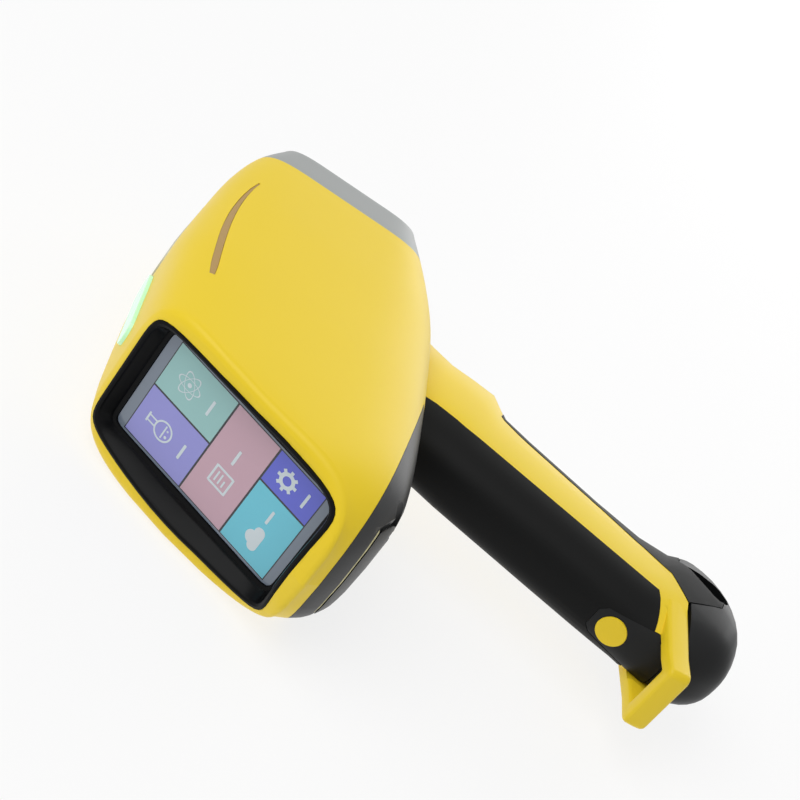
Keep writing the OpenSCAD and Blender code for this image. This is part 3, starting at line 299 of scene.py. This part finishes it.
def moulded_grain():
    """Shared group: slow tone changes, spread of the roughness and a fine grain height."""
    name = "moulded_grain"
    if name in bpy.data.node_groups:
        return bpy.data.node_groups[name]
    g = bpy.data.node_groups.new(name, "ShaderNodeTree")
    group_output_sockets(g, [
        ("Color", "NodeSocketColor", "INPUT"), ("Tone", "NodeSocketFloat", "INPUT"),
        ("Scale", "NodeSocketFloat", "INPUT"), ("Roughness", "NodeSocketFloat", "INPUT"),
        ("Spread", "NodeSocketFloat", "INPUT"),
        ("Color", "NodeSocketColor", "OUTPUT"), ("Roughness", "NodeSocketFloat", "OUTPUT"),
        ("Height", "NodeSocketFloat", "OUTPUT")])
    n, k = g.nodes, g.links
    gin, gout = n.new("NodeGroupInput"), n.new("NodeGroupOutput")
    where = n.new("ShaderNodeTexCoord")
    slow = n.new("ShaderNodeTexNoise")
    slow.inputs["Scale"].default_value = 22
    slow.inputs["Detail"].default_value = 3
    fine = n.new("ShaderNodeTexNoise")
    fine.inputs["Detail"].default_value = 4
    fine.inputs["Roughness"].default_value = 0.6
    cells = n.new("ShaderNodeTexVoronoi")
    k.new(where.outputs["Object"], slow.inputs["Vector"])
    k.new(where.outputs["Object"], fine.inputs["Vector"])
    k.new(where.outputs["Object"], cells.inputs["Vector"])
    k.new(gin.outputs["Scale"], fine.inputs["Scale"])
    k.new(gin.outputs["Scale"], cells.inputs["Scale"])
    centred = n.new("ShaderNodeMath")
    centred.operation = "SUBTRACT"
    centred.inputs[1].default_value = 0.5
    k.new(slow.outputs["Fac"], centred.inputs[0])
    swing = n.new("ShaderNodeMath")
    swing.operation = "MULTIPLY_ADD"
    swing.inputs[2].default_value = 1.0
    k.new(centred.outputs[0], swing.inputs[0])
    k.new(gin.outputs["Tone"], swing.inputs[1])
    toned = n.new("ShaderNodeVectorMath")
    toned.operation = "SCALE"
    k.new(gin.outputs["Color"], toned.inputs[0])
    k.new(swing.outputs[0], toned.inputs["Scale"])
    k.new(toned.outputs[0], gout.inputs["Color"])
    off = n.new("ShaderNodeMath")
    off.operation = "SUBTRACT"
    off.inputs[1].default_value = 0.5
    k.new(fine.outputs["Fac"], off.inputs[0])
    rough = n.new("ShaderNodeMath")
    rough.operation = "MULTIPLY_ADD"
    k.new(off.outputs[0], rough.inputs[0])
    k.new(gin.outputs["Spread"], rough.inputs[1])
    k.new(gin.outputs["Roughness"], rough.inputs[2])
    k.new(rough.outputs[0], gout.inputs["Roughness"])
    mixed = n.new("ShaderNodeMath")
    mixed.operation = "MULTIPLY_ADD"
    mixed.inputs[1].default_value = 0.45
    k.new(cells.outputs["Distance"], mixed.inputs[0])
    k.new(fine.outputs["Fac"], mixed.inputs[2])
    k.new(mixed.outputs[0], gout.inputs["Height"])
    return g


def brushed_lines():
    """Shared group: fine lines along one axis, as on turned or brushed metal."""
    name = "brushed_lines"
    if name in bpy.data.node_groups:
        return bpy.data.node_groups[name]
    g = bpy.data.node_groups.new(name, "ShaderNodeTree")
    group_output_sockets(g, [
        ("Color", "NodeSocketColor", "INPUT"), ("Stretch", "NodeSocketVector", "INPUT"),
        ("Roughness", "NodeSocketFloat", "INPUT"),
        ("Color", "NodeSocketColor", "OUTPUT"), ("Roughness", "NodeSocketFloat", "OUTPUT"),
        ("Height", "NodeSocketFloat", "OUTPUT")])
    n, k = g.nodes, g.links
    gin, gout = n.new("NodeGroupInput"), n.new("NodeGroupOutput")
    where = n.new("ShaderNodeTexCoord")
    drawn = n.new("ShaderNodeVectorMath")
    drawn.operation = "MULTIPLY"
    k.new(where.outputs["Object"], drawn.inputs[0])
    k.new(gin.outputs["Stretch"], drawn.inputs[1])
    lines = n.new("ShaderNodeTexNoise")
    lines.inputs["Scale"].default_value = 1.0
    lines.inputs["Detail"].default_value = 3
    k.new(drawn.outputs[0], lines.inputs["Vector"])
    rough = n.new("ShaderNodeMath")
    rough.operation = "MULTIPLY_ADD"
    rough.inputs[1].default_value = 0.16
    k.new(lines.outputs["Fac"], rough.inputs[0])
    k.new(gin.outputs["Roughness"], rough.inputs[2])
    k.new(rough.outputs[0], gout.inputs["Roughness"])
    k.new(lines.outputs["Fac"], gout.inputs["Height"])
    tone = n.new("ShaderNodeMath")
    tone.operation = "MULTIPLY_ADD"
    tone.inputs[1].default_value = 0.14
    tone.inputs[2].default_value = 0.93
    k.new(lines.outputs["Fac"], tone.inputs[0])
    toned = n.new("ShaderNodeVectorMath")
    toned.operation = "SCALE"
    k.new(gin.outputs["Color"], toned.inputs[0])
    k.new(tone.outputs[0], toned.inputs["Scale"])
    k.new(toned.outputs[0], gout.inputs["Color"])
    return g


def blank(name):
    m = bpy.data.materials.new(name)
    m.use_nodes = True
    t = m.node_tree
    t.nodes.clear()
    out = t.nodes.new("ShaderNodeOutputMaterial")
    sh = t.nodes.new("ShaderNodeBsdfPrincipled")
    t.links.new(sh.outputs[0], out.inputs[0])
    return m, t, sh


def bump_into(t, sh, height, strength, distance):
    b = t.nodes.new("ShaderNodeBump")
    b.inputs["Strength"].default_value = strength
    b.inputs["Distance"].default_value = distance
    t.links.new(height, b.inputs["Height"])
    t.links.new(b.outputs[0], sh.inputs["Normal"])


def plastic(name, color, rough=0.4, tone=0.05, spread=0.08, grain=1400.0, strength=0.12,
            coat=0.0, coat_rough=0.2, glow=0.0, specular=0.5):
    """Moulded plastic or rubber: toned colour, uneven sheen and a fine grain."""
    if name in bpy.data.materials:
        return bpy.data.materials[name]
    m, t, sh = blank(name)
    g = t.nodes.new("ShaderNodeGroup")
    g.node_tree = moulded_grain()
    g.inputs["Color"].default_value = (*color, 1)
    g.inputs["Tone"].default_value = tone
    g.inputs["Scale"].default_value = grain
    g.inputs["Roughness"].default_value = rough
    g.inputs["Spread"].default_value = spread
    t.links.new(g.outputs["Color"], sh.inputs["Base Color"])
    t.links.new(g.outputs["Roughness"], sh.inputs["Roughness"])
    bump_into(t, sh, g.outputs["Height"], strength, 0.0001)
    sh.inputs["Specular IOR Level"].default_value = specular
    sh.inputs["Coat Weight"].default_value = coat
    sh.inputs["Coat Roughness"].default_value = coat_rough
    if glow > 0:
        t.links.new(g.outputs["Color"], sh.inputs["Emission Color"])
        sh.inputs["Emission Strength"].default_value = glow
    m.diffuse_color = (*color, 1)
    return m


def metal(name, color, rough=0.25, stretch=(60, 900, 900), strength=0.08):
    """Brushed or turned metal with lines along one axis."""
    if name in bpy.data.materials:
        return bpy.data.materials[name]
    m, t, sh = blank(name)
    g = t.nodes.new("ShaderNodeGroup")
    g.node_tree = brushed_lines()
    g.inputs["Color"].default_value = (*color, 1)
    g.inputs["Stretch"].default_value = stretch
    g.inputs["Roughness"].default_value = rough
    t.links.new(g.outputs["Color"], sh.inputs["Base Color"])
    t.links.new(g.outputs["Roughness"], sh.inputs["Roughness"])
    bump_into(t, sh, g.outputs["Height"], strength, 0.00005)
    sh.inputs["Metallic"].default_value = 1.0
    m.diffuse_color = (*color, 1)
    return m


def circuit_board(name, color):
    """Lacquered board with lighter tracks under the lacquer."""
    if name in bpy.data.materials:
        return bpy.data.materials[name]
    m, t, sh = blank(name)
    where = t.nodes.new("ShaderNodeTexCoord")
    tracks = t.nodes.new("ShaderNodeTexBrick")
    tracks.inputs["Scale"].default_value = 260
    tracks.inputs["Mortar Size"].default_value = 0.06
    tracks.inputs["Color1"].default_value = (*color, 1)
    tracks.inputs["Color2"].default_value = (color[0] * 1.2, color[1] * 1.15, color[2] * 1.2, 1)
    tracks.inputs["Mortar"].default_value = (color[0] + 0.05, color[1] * 1.7, color[2] + 0.04, 1)
    t.links.new(where.outputs["Object"], tracks.inputs["Vector"])
    t.links.new(tracks.outputs["Color"], sh.inputs["Base Color"])
    bump_into(t, sh, tracks.outputs["Fac"], 0.15, 0.00005)
    sh.inputs["Roughness"].default_value = 0.3
    sh.inputs["Coat Weight"].default_value = 0.4
    return m


def finish_of(key):
    """The materials of the analyzer, by a short name."""
    f = bpy.context.scene.analyzer_finish
    fine = 1.0 / f.grain
    table = {
        "shell": lambda: plastic("yellow_shell_plastic", f.shell_yellow, 0.40, 0.03, 0.05, fine, 0.06,
                                 specular=0.3),
        "rubber": lambda: plastic("soft_grip_rubber", f.rubber_black, 0.5, 0.10, 0.12, fine, 0.16,
                                  specular=0.12),
        "trim": lambda: plastic("black_trim_plastic", f.trim_black, 0.38, 0.08, 0.10, fine, 0.10,
                                specular=0.18),
        "foot": lambda: plastic("battery_foot_plastic", f.trim_black, 0.36, 0.06, 0.08, fine, 0.08,
                                specular=0.16),
        "bezel": lambda: plastic("gloss_bezel_plastic", (0.0035, 0.0037, 0.004), 0.30, 0.06, 0.06, fine,
                                 0.05, specular=0.09),
        "belly": lambda: plastic("belly_cover_plastic", (0.020, 0.0205, 0.021), 0.42, 0.08,
                                 0.10, fine, 0.12,
                                 specular=0.36),
        "nose": lambda: plastic("grey_nose_plastic", f.nose_grey, 0.40, 0.04, 0.06, fine, 0.07),
        # Crown insert: the nose grey painted lighter, as painted light on its upward face
        "crown": lambda: plastic("crown_insert_plastic", (0.60, 0.62, 0.60), 0.35, 0.03, 0.05,
                                 fine, 0.05,
                                 coat=0.3),
        "light": lambda: plastic("status_light_lens", (0.50, 0.90, 0.66), 0.22, 0.06, 0.04, fine, 0.03,
                                 coat=0.4, glow=0.22),
        "slit": lambda: plastic("slit_lens", (0.44, 0.27, 0.08), 0.42, 0.10, 0.08, fine, 0.06),
        # Door seal: a real seal, whose pale cream colour is a painted highlight along the gap between
        # belly cover and port door
        "seal": lambda: plastic("door_seal_rubber", (0.80, 0.74, 0.42), 0.6, 0.06, 0.10, fine, 0.12),
        "core": lambda: plastic("core_plastic", (0.035, 0.035, 0.038), 0.55, 0.10, 0.12, fine, 0.2),
        "unit": lambda: plastic("display_unit_plastic", (0.10, 0.11, 0.13), 0.45, 0.06, 0.10, fine, 0.1),
        "wrap": lambda: plastic("cell_wrap_film", (0.04, 0.16, 0.34), 0.22, 0.04, 0.06, fine, 0.04,
                                coat=0.5),
        "foil": lambda: plastic("window_film", (0.42, 0.24, 0.05), 0.18, 0.05, 0.05, fine, 0.03,
                                coat=0.6, coat_rough=0.08),
        "steel": lambda: metal("brushed_steel", (0.56, 0.56, 0.57), 0.22, (900, 900, 60)),
        "alloy": lambda: metal("cast_alloy", (0.68, 0.69, 0.71), 0.34, (220, 240, 260)),
        "plate": lambda: metal("nose_plate_metal", (0.60, 0.61, 0.62), 0.26, (900, 40, 900)),
        "brass": lambda: metal("plated_brass", (0.70, 0.52, 0.22), 0.22, (900, 900, 80)),
        "board": lambda: circuit_board("lacquered_board", (0.012, 0.11, 0.04)),
    }
    return table[key]()


def dress(piece, key):
    material = finish_of(key)
    if piece.data.materials:
        for i in range(len(piece.data.materials)):
            piece.data.materials[i] = material
    else:
        piece.data.materials.append(material)


def skin_of(node, key, body, angle=32.0, edge=0.0):
    """A smooth skin over a CAD node, in its finish and on its body."""
    skin = smooth_skin(node, angle, edge)
    dress(skin, key)
    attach(skin, body)
    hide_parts(node)
    return skin


# ------------------------------------------------------------------ operators
class ANALYZER_OT_inner_parts(Operator):
    """Give the hidden measuring unit, grip core, battery and fasteners their finishes"""
    bl_idname = "analyzer.inner_parts"
    bl_label = "Inner Parts"

    def execute(self, context):
        wanted = {
            "steel": ["plate_screws", "port_block", "door_pin", "latch_spring", "trigger_pin",
                      "trigger_spring", "xray_tube", "filter_motor", "shell_screws"],
            "alloy": ["chassis", "snout", "heat_sink"],
            "brass": ["battery_contacts", "detector", "filter_wheel"],
            "board": ["display_board", "main_board"],
            "core": ["trigger_switch", "grip_core", "battery_case", "hv_supply", "camera"],
            "unit": ["lcd_module"],
            "wrap": ["battery_cells"],
            "foil": ["window_film"],
            "plate": ["nose_plate"],
            "seal": ["door_seal"],
            "slit": ["lamp_left", "lamp_right"],
        }
        for key, nodes in wanted.items():
            for node in nodes:
                dress(NODES[node], key)
        return {"FINISHED"}


class ANALYZER_OT_shells(Operator):
    """Lay smooth yellow skins over the two halves of the housing"""
    bl_idname = "analyzer.shells"
    bl_label = "Yellow Shells"

    def execute(self, context):
        for node in ("shell_left", "shell_right"):
            skin_of(node, "shell", "housing", 44)
        skin_of("latch_button", "shell", "release", 30, 0.0004)
        return {"FINISHED"}


class ANALYZER_OT_nose(Operator):
    """Lay smooth skins over the nose cap, the crown insert and the status light"""
    bl_idname = "analyzer.nose"
    bl_label = "Nose and Crown"

    def execute(self, context):
        skin_of("nose_cap", "nose", "housing", 36)
        skin_of("top_plate", "crown", "housing", 30)
        skin_of("status_light", "light", "housing", 30)
        return {"FINISHED"}


class ANALYZER_OT_screen_surround(Operator):
    """Lay a smooth skin over the sloped screen surround"""
    bl_idname = "analyzer.screen_surround"
    bl_label = "Screen Surround"

    def execute(self, context):
        skin_of("bezel", "bezel", "housing", 28)
        return {"FINISHED"}


class ANALYZER_OT_belly(Operator):
    """Lay smooth skins over the belly cover and the port door"""
    bl_idname = "analyzer.belly"
    bl_label = "Belly and Port Door"

    def execute(self, context):
        skin_of("belly_cover", "belly", "housing", 30)
        skin_of("port_door", "belly", "door", 30)
        return {"FINISHED"}


class ANALYZER_OT_grip(Operator):
    """Lay smooth skins over the grip covers, the latch panel, the trigger and the battery foot"""
    bl_idname = "analyzer.grip"
    bl_label = "Grip and Foot"

    def execute(self, context):
        skin_of("rear_grip", "rubber", "housing", 30)
        skin_of("front_grip", "rubber", "housing", 30)
        skin_of("latch_panel", "trim", "housing", 30)
        skin_of("trigger", "trim", "trigger", 34)
        skin_of("base_cap", "foot", "battery", 32)
        return {"FINISHED"}


def tile_layout():
    """Left, bottom, width and height of each tile, with its colour's name."""
    s = bpy.context.scene.analyzer_screen
    w, h, g = s.field_width, s.field_height, s.tile_gap
    left, low = -w / 2, s.field_rise - h / 2
    rows = [(low, 0.31 * h), (low + 0.31 * h, 0.29 * h), (low + 0.60 * h, 0.40 * h)]
    cut_top, cut_low = 0.52 * w, 0.655 * w
    boxes = {
        "cyan": (left, rows[0][0], cut_low, rows[0][1]),
        "blue": (left + cut_low, rows[0][0], w - cut_low, rows[0][1]),
        "rose": (left, rows[1][0], w, rows[1][1]),
        "violet": (left, rows[2][0], cut_top, rows[2][1]),
        "teal": (left + cut_top, rows[2][0], w - cut_top, rows[2][1]),
    }
    return {k: (x + g / 2, y + g / 2, bw - g, bh - g) for k, (x, y, bw, bh) in boxes.items()}


class ANALYZER_OT_screen_picture(Operator):
    """Lay the lit tiles of the menu on the screen, over a dark ground"""
    bl_idname = "analyzer.screen_picture"
    bl_label = "Screen Picture"

    def execute(self, context):
        s = context.scene.analyzer_screen
        glass = NODES["screen_glass"]
        m = plastic("screen_margin_glass", (0.19, 0.23, 0.29), 0.10, 0.03, 0.02, 300, 0.01,
                    coat=0.4, coat_rough=0.05, glow=0.04)
        for i in range(max(1, len(glass.data.materials))):
            if glass.data.materials:
                glass.data.materials[i] = m
            else:
                glass.data.materials.append(m)
        place = screen_matrix()
        ground = plate("picture_ground", 0, s.field_rise, s.field_width, s.field_height,
                       -0.00002, 0.00004, rim=0.0)
        settle(ground, place)
        ground.data.materials.append(plastic("picture_gap", (0.02, 0.022, 0.03), 0.15, 0.02, 0.02,
                                             300, 0.01, coat=0.4, coat_rough=0.05))
        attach(ground, "housing")
        for name, (x, y, w, h) in tile_layout().items():
            color = getattr(s, name)
            t = plate("tile_" + name, x + w / 2, y + h / 2, w, h, 0.00002, 0.0001, rim=0.00003)
            settle(t, place)
            t.data.materials.append(plastic("lit_tile_" + name, color, 0.14, 0.05, 0.02, 300, 0.01,
                                            coat=0.4, coat_rough=0.05, glow=0.10))
            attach(t, "housing")
        return {"FINISHED"}


def middle(name, across=0.5, up=0.5):
    x, y, w, h = tile_layout()[name]
    return x + w * across, y + h * up


LOW, HIGH = 0.00008, 0.00016
STEP_UP = 0.000006


class ANALYZER_OT_screen_signs(Operator):
    """Set plain signs and label bars on the tiles of the menu"""
    bl_idname = "analyzer.screen_signs"
    bl_label = "Screen Signs"

    def execute(self, context):
        place = screen_matrix()
        pale = plastic("pale_sign_paint", (0.62, 0.70, 0.74), 0.2, 0.03, 0.02, 300, 0.01,
                       coat=0.3, coat_rough=0.08, glow=0.06)
        signs = [self.orbits(), self.flask(), self.ledger(), self.cogwheel(), self.cloud()]
        for sign in signs:
            settle(sign, place)
            sign.data.materials.clear()
            sign.data.materials.append(pale)
            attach(sign, "housing")
        return {"FINISHED"}

    def bars(self, x, y, widths, height=0.0013, step=0.0026):
        made = []
        for i, w in enumerate(widths):
            made.append(plate("bar", x, y - i * step, w, height, LOW, HIGH, rim=0.0, corner=0.0004))
        return made

    def orbits(self):
        x, y = middle("teal", 0.5, 0.62)
        made = [disc("dot", x, y, 0.0011, LOW, HIGH)]
        for i in range(3):
            r = ring("orbit", x, y, 0.0062, 0.0006, LOW, HIGH)
            squeeze(r, 0.42, x, y)
            made.append(turn(r, math.radians(30 + 60 * i), x, y))
        lx, ly = middle("teal", 0.5, 0.24)
        made += self.bars(lx, ly, [0.0078])
        return join(stagger(made), "sign_orbits")

    def flask(self):
        x, y = middle("violet", 0.5, 0.60)
        made = [ring("bowl", x, y - 0.0012, 0.0048, 0.0008, LOW, HIGH),
                plate("neck_left", x - 0.0014, y + 0.0052, 0.0007, 0.0044, LOW, HIGH, rim=0.0),
                plate("neck_right", x + 0.0014, y + 0.0052, 0.0007, 0.0044, LOW, HIGH, rim=0.0),
                plate("lip", x, y + 0.0076, 0.0050, 0.0009, LOW, HIGH, rim=0.0, corner=0.0003),
                plate("level", x, y - 0.0016, 0.0066, 0.0007, LOW, HIGH, rim=0.0),
                disc("drop_a", x - 0.0014, y - 0.0034, 0.0007, LOW, HIGH),
                disc("drop_b", x + 0.0015, y - 0.0030, 0.0005, LOW, HIGH)]
        lx, ly = middle("violet", 0.5, 0.22)
        made += self.bars(lx, ly, [0.0078])
        return join(stagger(made), "sign_flask")

    def ledger(self):
        x, y = middle("rose", 0.36, 0.5)
        made = [plate("row_a", x, y + 0.0046, 0.0092, 0.0010, LOW, HIGH, rim=0.0),
                plate("row_b", x, y - 0.0046, 0.0092, 0.0010, LOW, HIGH, rim=0.0),
                plate("side_a", x - 0.0043, y, 0.0010, 0.0092, LOW, HIGH, rim=0.0),
                plate("side_b", x + 0.0043, y, 0.0010, 0.0092, LOW, HIGH, rim=0.0)]
        for i, w in enumerate((0.0052, 0.0052, 0.0034)):
            made.append(plate("line", x - 0.0026 + w / 2, y + 0.0023 - 0.0021 * i, w, 0.0008,
                              LOW, HIGH, rim=0.0))
        lx, ly = middle("rose", 0.62, 0.5)
        made += self.bars(lx, ly, [0.0078])
        return join(stagger(made), "sign_ledger")

    def cogwheel(self):
        x, y = middle("blue", 0.5, 0.64)
        made = [ring("rim", x, y, 0.0038, 0.0017, LOW, HIGH)]
        for i in range(8):
            a = math.radians(45 * i)
            tooth = plate("tooth", x + 0.0043, y, 0.0016, 0.0015, LOW, HIGH, rim=0.0)
            made.append(turn(tooth, a, x, y))
        lx, ly = middle("blue", 0.5, 0.22)
        made += self.bars(lx, ly, [0.0074])
        return join(stagger(made), "sign_cogwheel")

    def cloud(self):
        x, y = middle("cyan", 0.33, 0.5)
        made = [disc("puff_a", x - 0.0034, y - 0.0008, 0.0024, LOW, HIGH),
                disc("puff_b", x - 0.0004, y + 0.0012, 0.0033, LOW, HIGH, 36),
                disc("puff_c", x + 0.0036, y - 0.0006, 0.0026, LOW, HIGH),
                plate("puff_base", x, y - 0.0018, 0.0090, 0.0028, LOW, HIGH, rim=0.0, corner=0.0012)]
        lx, ly = middle("cyan", 0.72, 0.5)
        made += self.bars(lx, ly, [0.0070])
        return join(stagger(made), "sign_cloud")


class ANALYZER_OT_stage(Operator):
    """Set up the pale table, the soft lights, the even sky and the camera"""
    bl_idname = "analyzer.stage"
    bl_label = "Stage"

    def execute(self, context):
        s = context.scene.analyzer_stage
        self.table(s.sky)
        self.world(s.sky)
        # Over the table and behind the screen, on the far side, and from above
        self.lamp("key_softbox", (-0.45, -1.15, 0.55), (-0.1, 0, -0.06), 1.1, s.key)
        self.lamp("fill_softbox", (0.35, 1.2, 0.45), (-0.1, 0, -0.06), 1.3, s.fill)
        self.lamp("rim_softbox", (0.9, -0.35, -0.6), (-0.1, 0, -0.1), 0.8, s.fill * 0.8)
        self.camera(s.lens)
        vs = context.scene.view_settings
        vs.view_transform = "Standard"
        return {"FINISHED"}

    def ray_kinds(self, tree):
        for node in tree.nodes:
            if node.type == "LIGHT_PATH":
                return node
        return tree.nodes.new("ShaderNodeLightPath")

    def seen_rays(self, tree):
        """One where the camera, a reflection or a clear piece looks at the backdrop"""
        path = self.ray_kinds(tree)
        last = path.outputs["Is Camera Ray"]
        for kind in ("Is Glossy Ray", "Is Transmission Ray"):
            either = tree.nodes.new("ShaderNodeMath")
            either.operation = "MAXIMUM"
            tree.links.new(last, either.inputs[0])
            tree.links.new(path.outputs[kind], either.inputs[1])
            last = either.outputs[0]
        return last

    def table(self, sky):
        let_go()
        bpy.ops.mesh.primitive_plane_add(size=TABLE_SPAN, location=(0, 0, 0))
        t = bpy.context.active_object
        t.name = "pale_table"
        bpy.ops.object.mode_set(mode="EDIT")
        bpy.ops.mesh.subdivide(number_cuts=3)
        bpy.ops.object.mode_set(mode="OBJECT")
        # The analyzer lies on its left side, clear of the table at every pose
        out = Vector((0, -1, 0))
        side = Vector((1, 0, 0))
        m = Matrix((side, out.cross(side), out)).transposed().to_4x4()
        m.translation = Vector((-0.1, TABLE_SIDE, 0.0))
        t.matrix_world = m
        bpy.ops.object.transform_apply(location=True, rotation=True, scale=True)
        t.visible_shadow = False
        m, tree, sh = blank("table_paper")
        out_node = [n for n in tree.nodes if n.type == "OUTPUT_MATERIAL"][0]
        sh.inputs["Base Color"].default_value = (0.95, 0.95, 0.95, 1)
        sh.inputs["Roughness"].default_value = 0.5
        glow = tree.nodes.new("ShaderNodeEmission")
        glow.inputs["Color"].default_value = (1, 1, 1, 1)
        glow.inputs["Strength"].default_value = 1.0
        clear = tree.nodes.new("ShaderNodeBsdfTransparent")
        face = tree.nodes.new("ShaderNodeNewGeometry")
        half = tree.nodes.new("ShaderNodeMath")
        half.operation = "MULTIPLY"
        half.inputs[1].default_value = TABLE_WHITE
        tree.links.new(self.seen_rays(tree), half.inputs[0])
        # The side next to the table keeps the even light of the sky that the table hides
        bounce = tree.nodes.new("ShaderNodeMath")
        bounce.operation = "MULTIPLY"
        bounce.inputs[1].default_value = sky
        tree.links.new(self.ray_kinds(tree).outputs["Is Diffuse Ray"], bounce.inputs[0])
        share = tree.nodes.new("ShaderNodeMath")
        share.operation = "MAXIMUM"
        tree.links.new(half.outputs[0], share.inputs[0])
        tree.links.new(bounce.outputs[0], share.inputs[1])
        lit = tree.nodes.new("ShaderNodeMixShader")
        tree.links.new(share.outputs[0], lit.inputs[0])
        tree.links.new(sh.outputs[0], lit.inputs[1])
        tree.links.new(glow.outputs[0], lit.inputs[2])
        seen = tree.nodes.new("ShaderNodeMixShader")
        tree.links.new(face.outputs["Backfacing"], seen.inputs[0])
        tree.links.new(lit.outputs[0], seen.inputs[1])
        tree.links.new(clear.outputs[0], seen.inputs[2])
        tree.links.new(seen.outputs[0], out_node.inputs[0])
        t.data.materials.append(m)

    def world(self, strength):
        w = bpy.data.worlds.new("even_sky")
        bpy.context.scene.world = w
        w.use_nodes = True
        t = w.node_tree
        t.nodes.clear()
        out = t.nodes.new("ShaderNodeOutputWorld")
        even = t.nodes.new("ShaderNodeBackground")
        even.inputs["Color"].default_value = (1, 1, 1, 1)
        even.inputs["Strength"].default_value = strength
        white = t.nodes.new("ShaderNodeBackground")
        white.inputs["Color"].default_value = (1, 1, 1, 1)
        white.inputs["Strength"].default_value = 1.0
        mix = t.nodes.new("ShaderNodeMixShader")
        t.links.new(self.seen_rays(t), mix.inputs[0])
        t.links.new(even.outputs[0], mix.inputs[1])
        t.links.new(white.outputs[0], mix.inputs[2])
        t.links.new(mix.outputs[0], out.inputs[0])

    def lamp(self, name, place, aim, size, power):
        data = bpy.data.lights.new(name, "AREA")
        data.shape = "SQUARE"
        data.size = size
        data.energy = power
        lamp = bpy.data.objects.new(name, data)
        bpy.context.scene.collection.objects.link(lamp)
        lamp.location = place
        lamp.rotation_mode = "QUATERNION"
        lamp.rotation_quaternion = (Vector(aim) - Vector(place)).to_track_quat("-Z", "Y")

    def camera(self, lens):
        turn_out, rise, roll = 0.56721579, 0.13588492, 0.98684254
        far, slip_x, slip_y = 0.79030, 0.0697176, 0.0237571
        d = Vector((-math.cos(turn_out) * math.cos(rise), -math.sin(turn_out) * math.cos(rise),
                    math.sin(rise)))
        r = Vector((0, 0, 1)).cross(d).normalized()
        u = d.cross(r)
        right = r * math.cos(roll) - u * math.sin(roll)
        up = r * math.sin(roll) + u * math.cos(roll)
        data = bpy.data.cameras.new("studio_camera")
        data.lens = lens
        data.sensor_width = 36
        data.clip_start = 0.01
        data.clip_end = 50
        cam = bpy.data.objects.new("studio_camera", data)
        bpy.context.scene.collection.objects.link(cam)
        m = Matrix((right, up, d)).transposed().to_4x4()
        m.translation = d * far + right * slip_x + up * slip_y + SCREEN_MIDDLE
        cam.matrix_world = m
        bpy.context.scene.camera = cam


class ANALYZER_PT_builder(Panel):
    """Sizes, colours and the steps that dress the analyzer"""
    bl_idname = "ANALYZER_PT_builder"
    bl_label = "Handheld Analyzer"
    bl_space_type = "VIEW_3D"
    bl_region_type = "UI"
    bl_category = "Analyzer"

    def draw(self, context):
        layout = self.layout
        for group in ("analyzer_finish", "analyzer_screen", "analyzer_stage"):
            box = layout.box()
            settings = getattr(context.scene, group)
            for name in settings.__annotations__:
                box.prop(settings, name)
        for step in STEPS:
            layout.operator(step)


STEPS = (
    "analyzer.inner_parts",
    "analyzer.shells",
    "analyzer.nose",
    "analyzer.screen_surround",
    "analyzer.belly",
    "analyzer.grip",
    "analyzer.screen_picture",
    "analyzer.screen_signs",
    "analyzer.stage",
)
SETTINGS = (AnalyzerFinish, AnalyzerScreen, AnalyzerStage)
OPERATORS = (
    ANALYZER_OT_inner_parts,
    ANALYZER_OT_shells,
    ANALYZER_OT_nose,
    ANALYZER_OT_screen_surround,
    ANALYZER_OT_belly,
    ANALYZER_OT_grip,
    ANALYZER_OT_screen_picture,
    ANALYZER_OT_screen_signs,
    ANALYZER_OT_stage,
)


def register():
    for c in SETTINGS + OPERATORS + (ANALYZER_PT_builder,):
        bpy.utils.register_class(c)
    bpy.types.Scene.analyzer_finish = PointerProperty(type=AnalyzerFinish)
    bpy.types.Scene.analyzer_screen = PointerProperty(type=AnalyzerScreen)
    bpy.types.Scene.analyzer_stage = PointerProperty(type=AnalyzerStage)


def unregister():
    del bpy.types.Scene.analyzer_stage
    del bpy.types.Scene.analyzer_screen
    del bpy.types.Scene.analyzer_finish
    for c in reversed(SETTINGS + OPERATORS + (ANALYZER_PT_builder,)):
        bpy.utils.unregister_class(c)


def main():
    register()
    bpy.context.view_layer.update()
    for step in STEPS:
        group, name = step.split(".")
        getattr(getattr(bpy.ops, group), name)()
    bpy.context.view_layer.update()


if __name__ == "__main__":
    main()
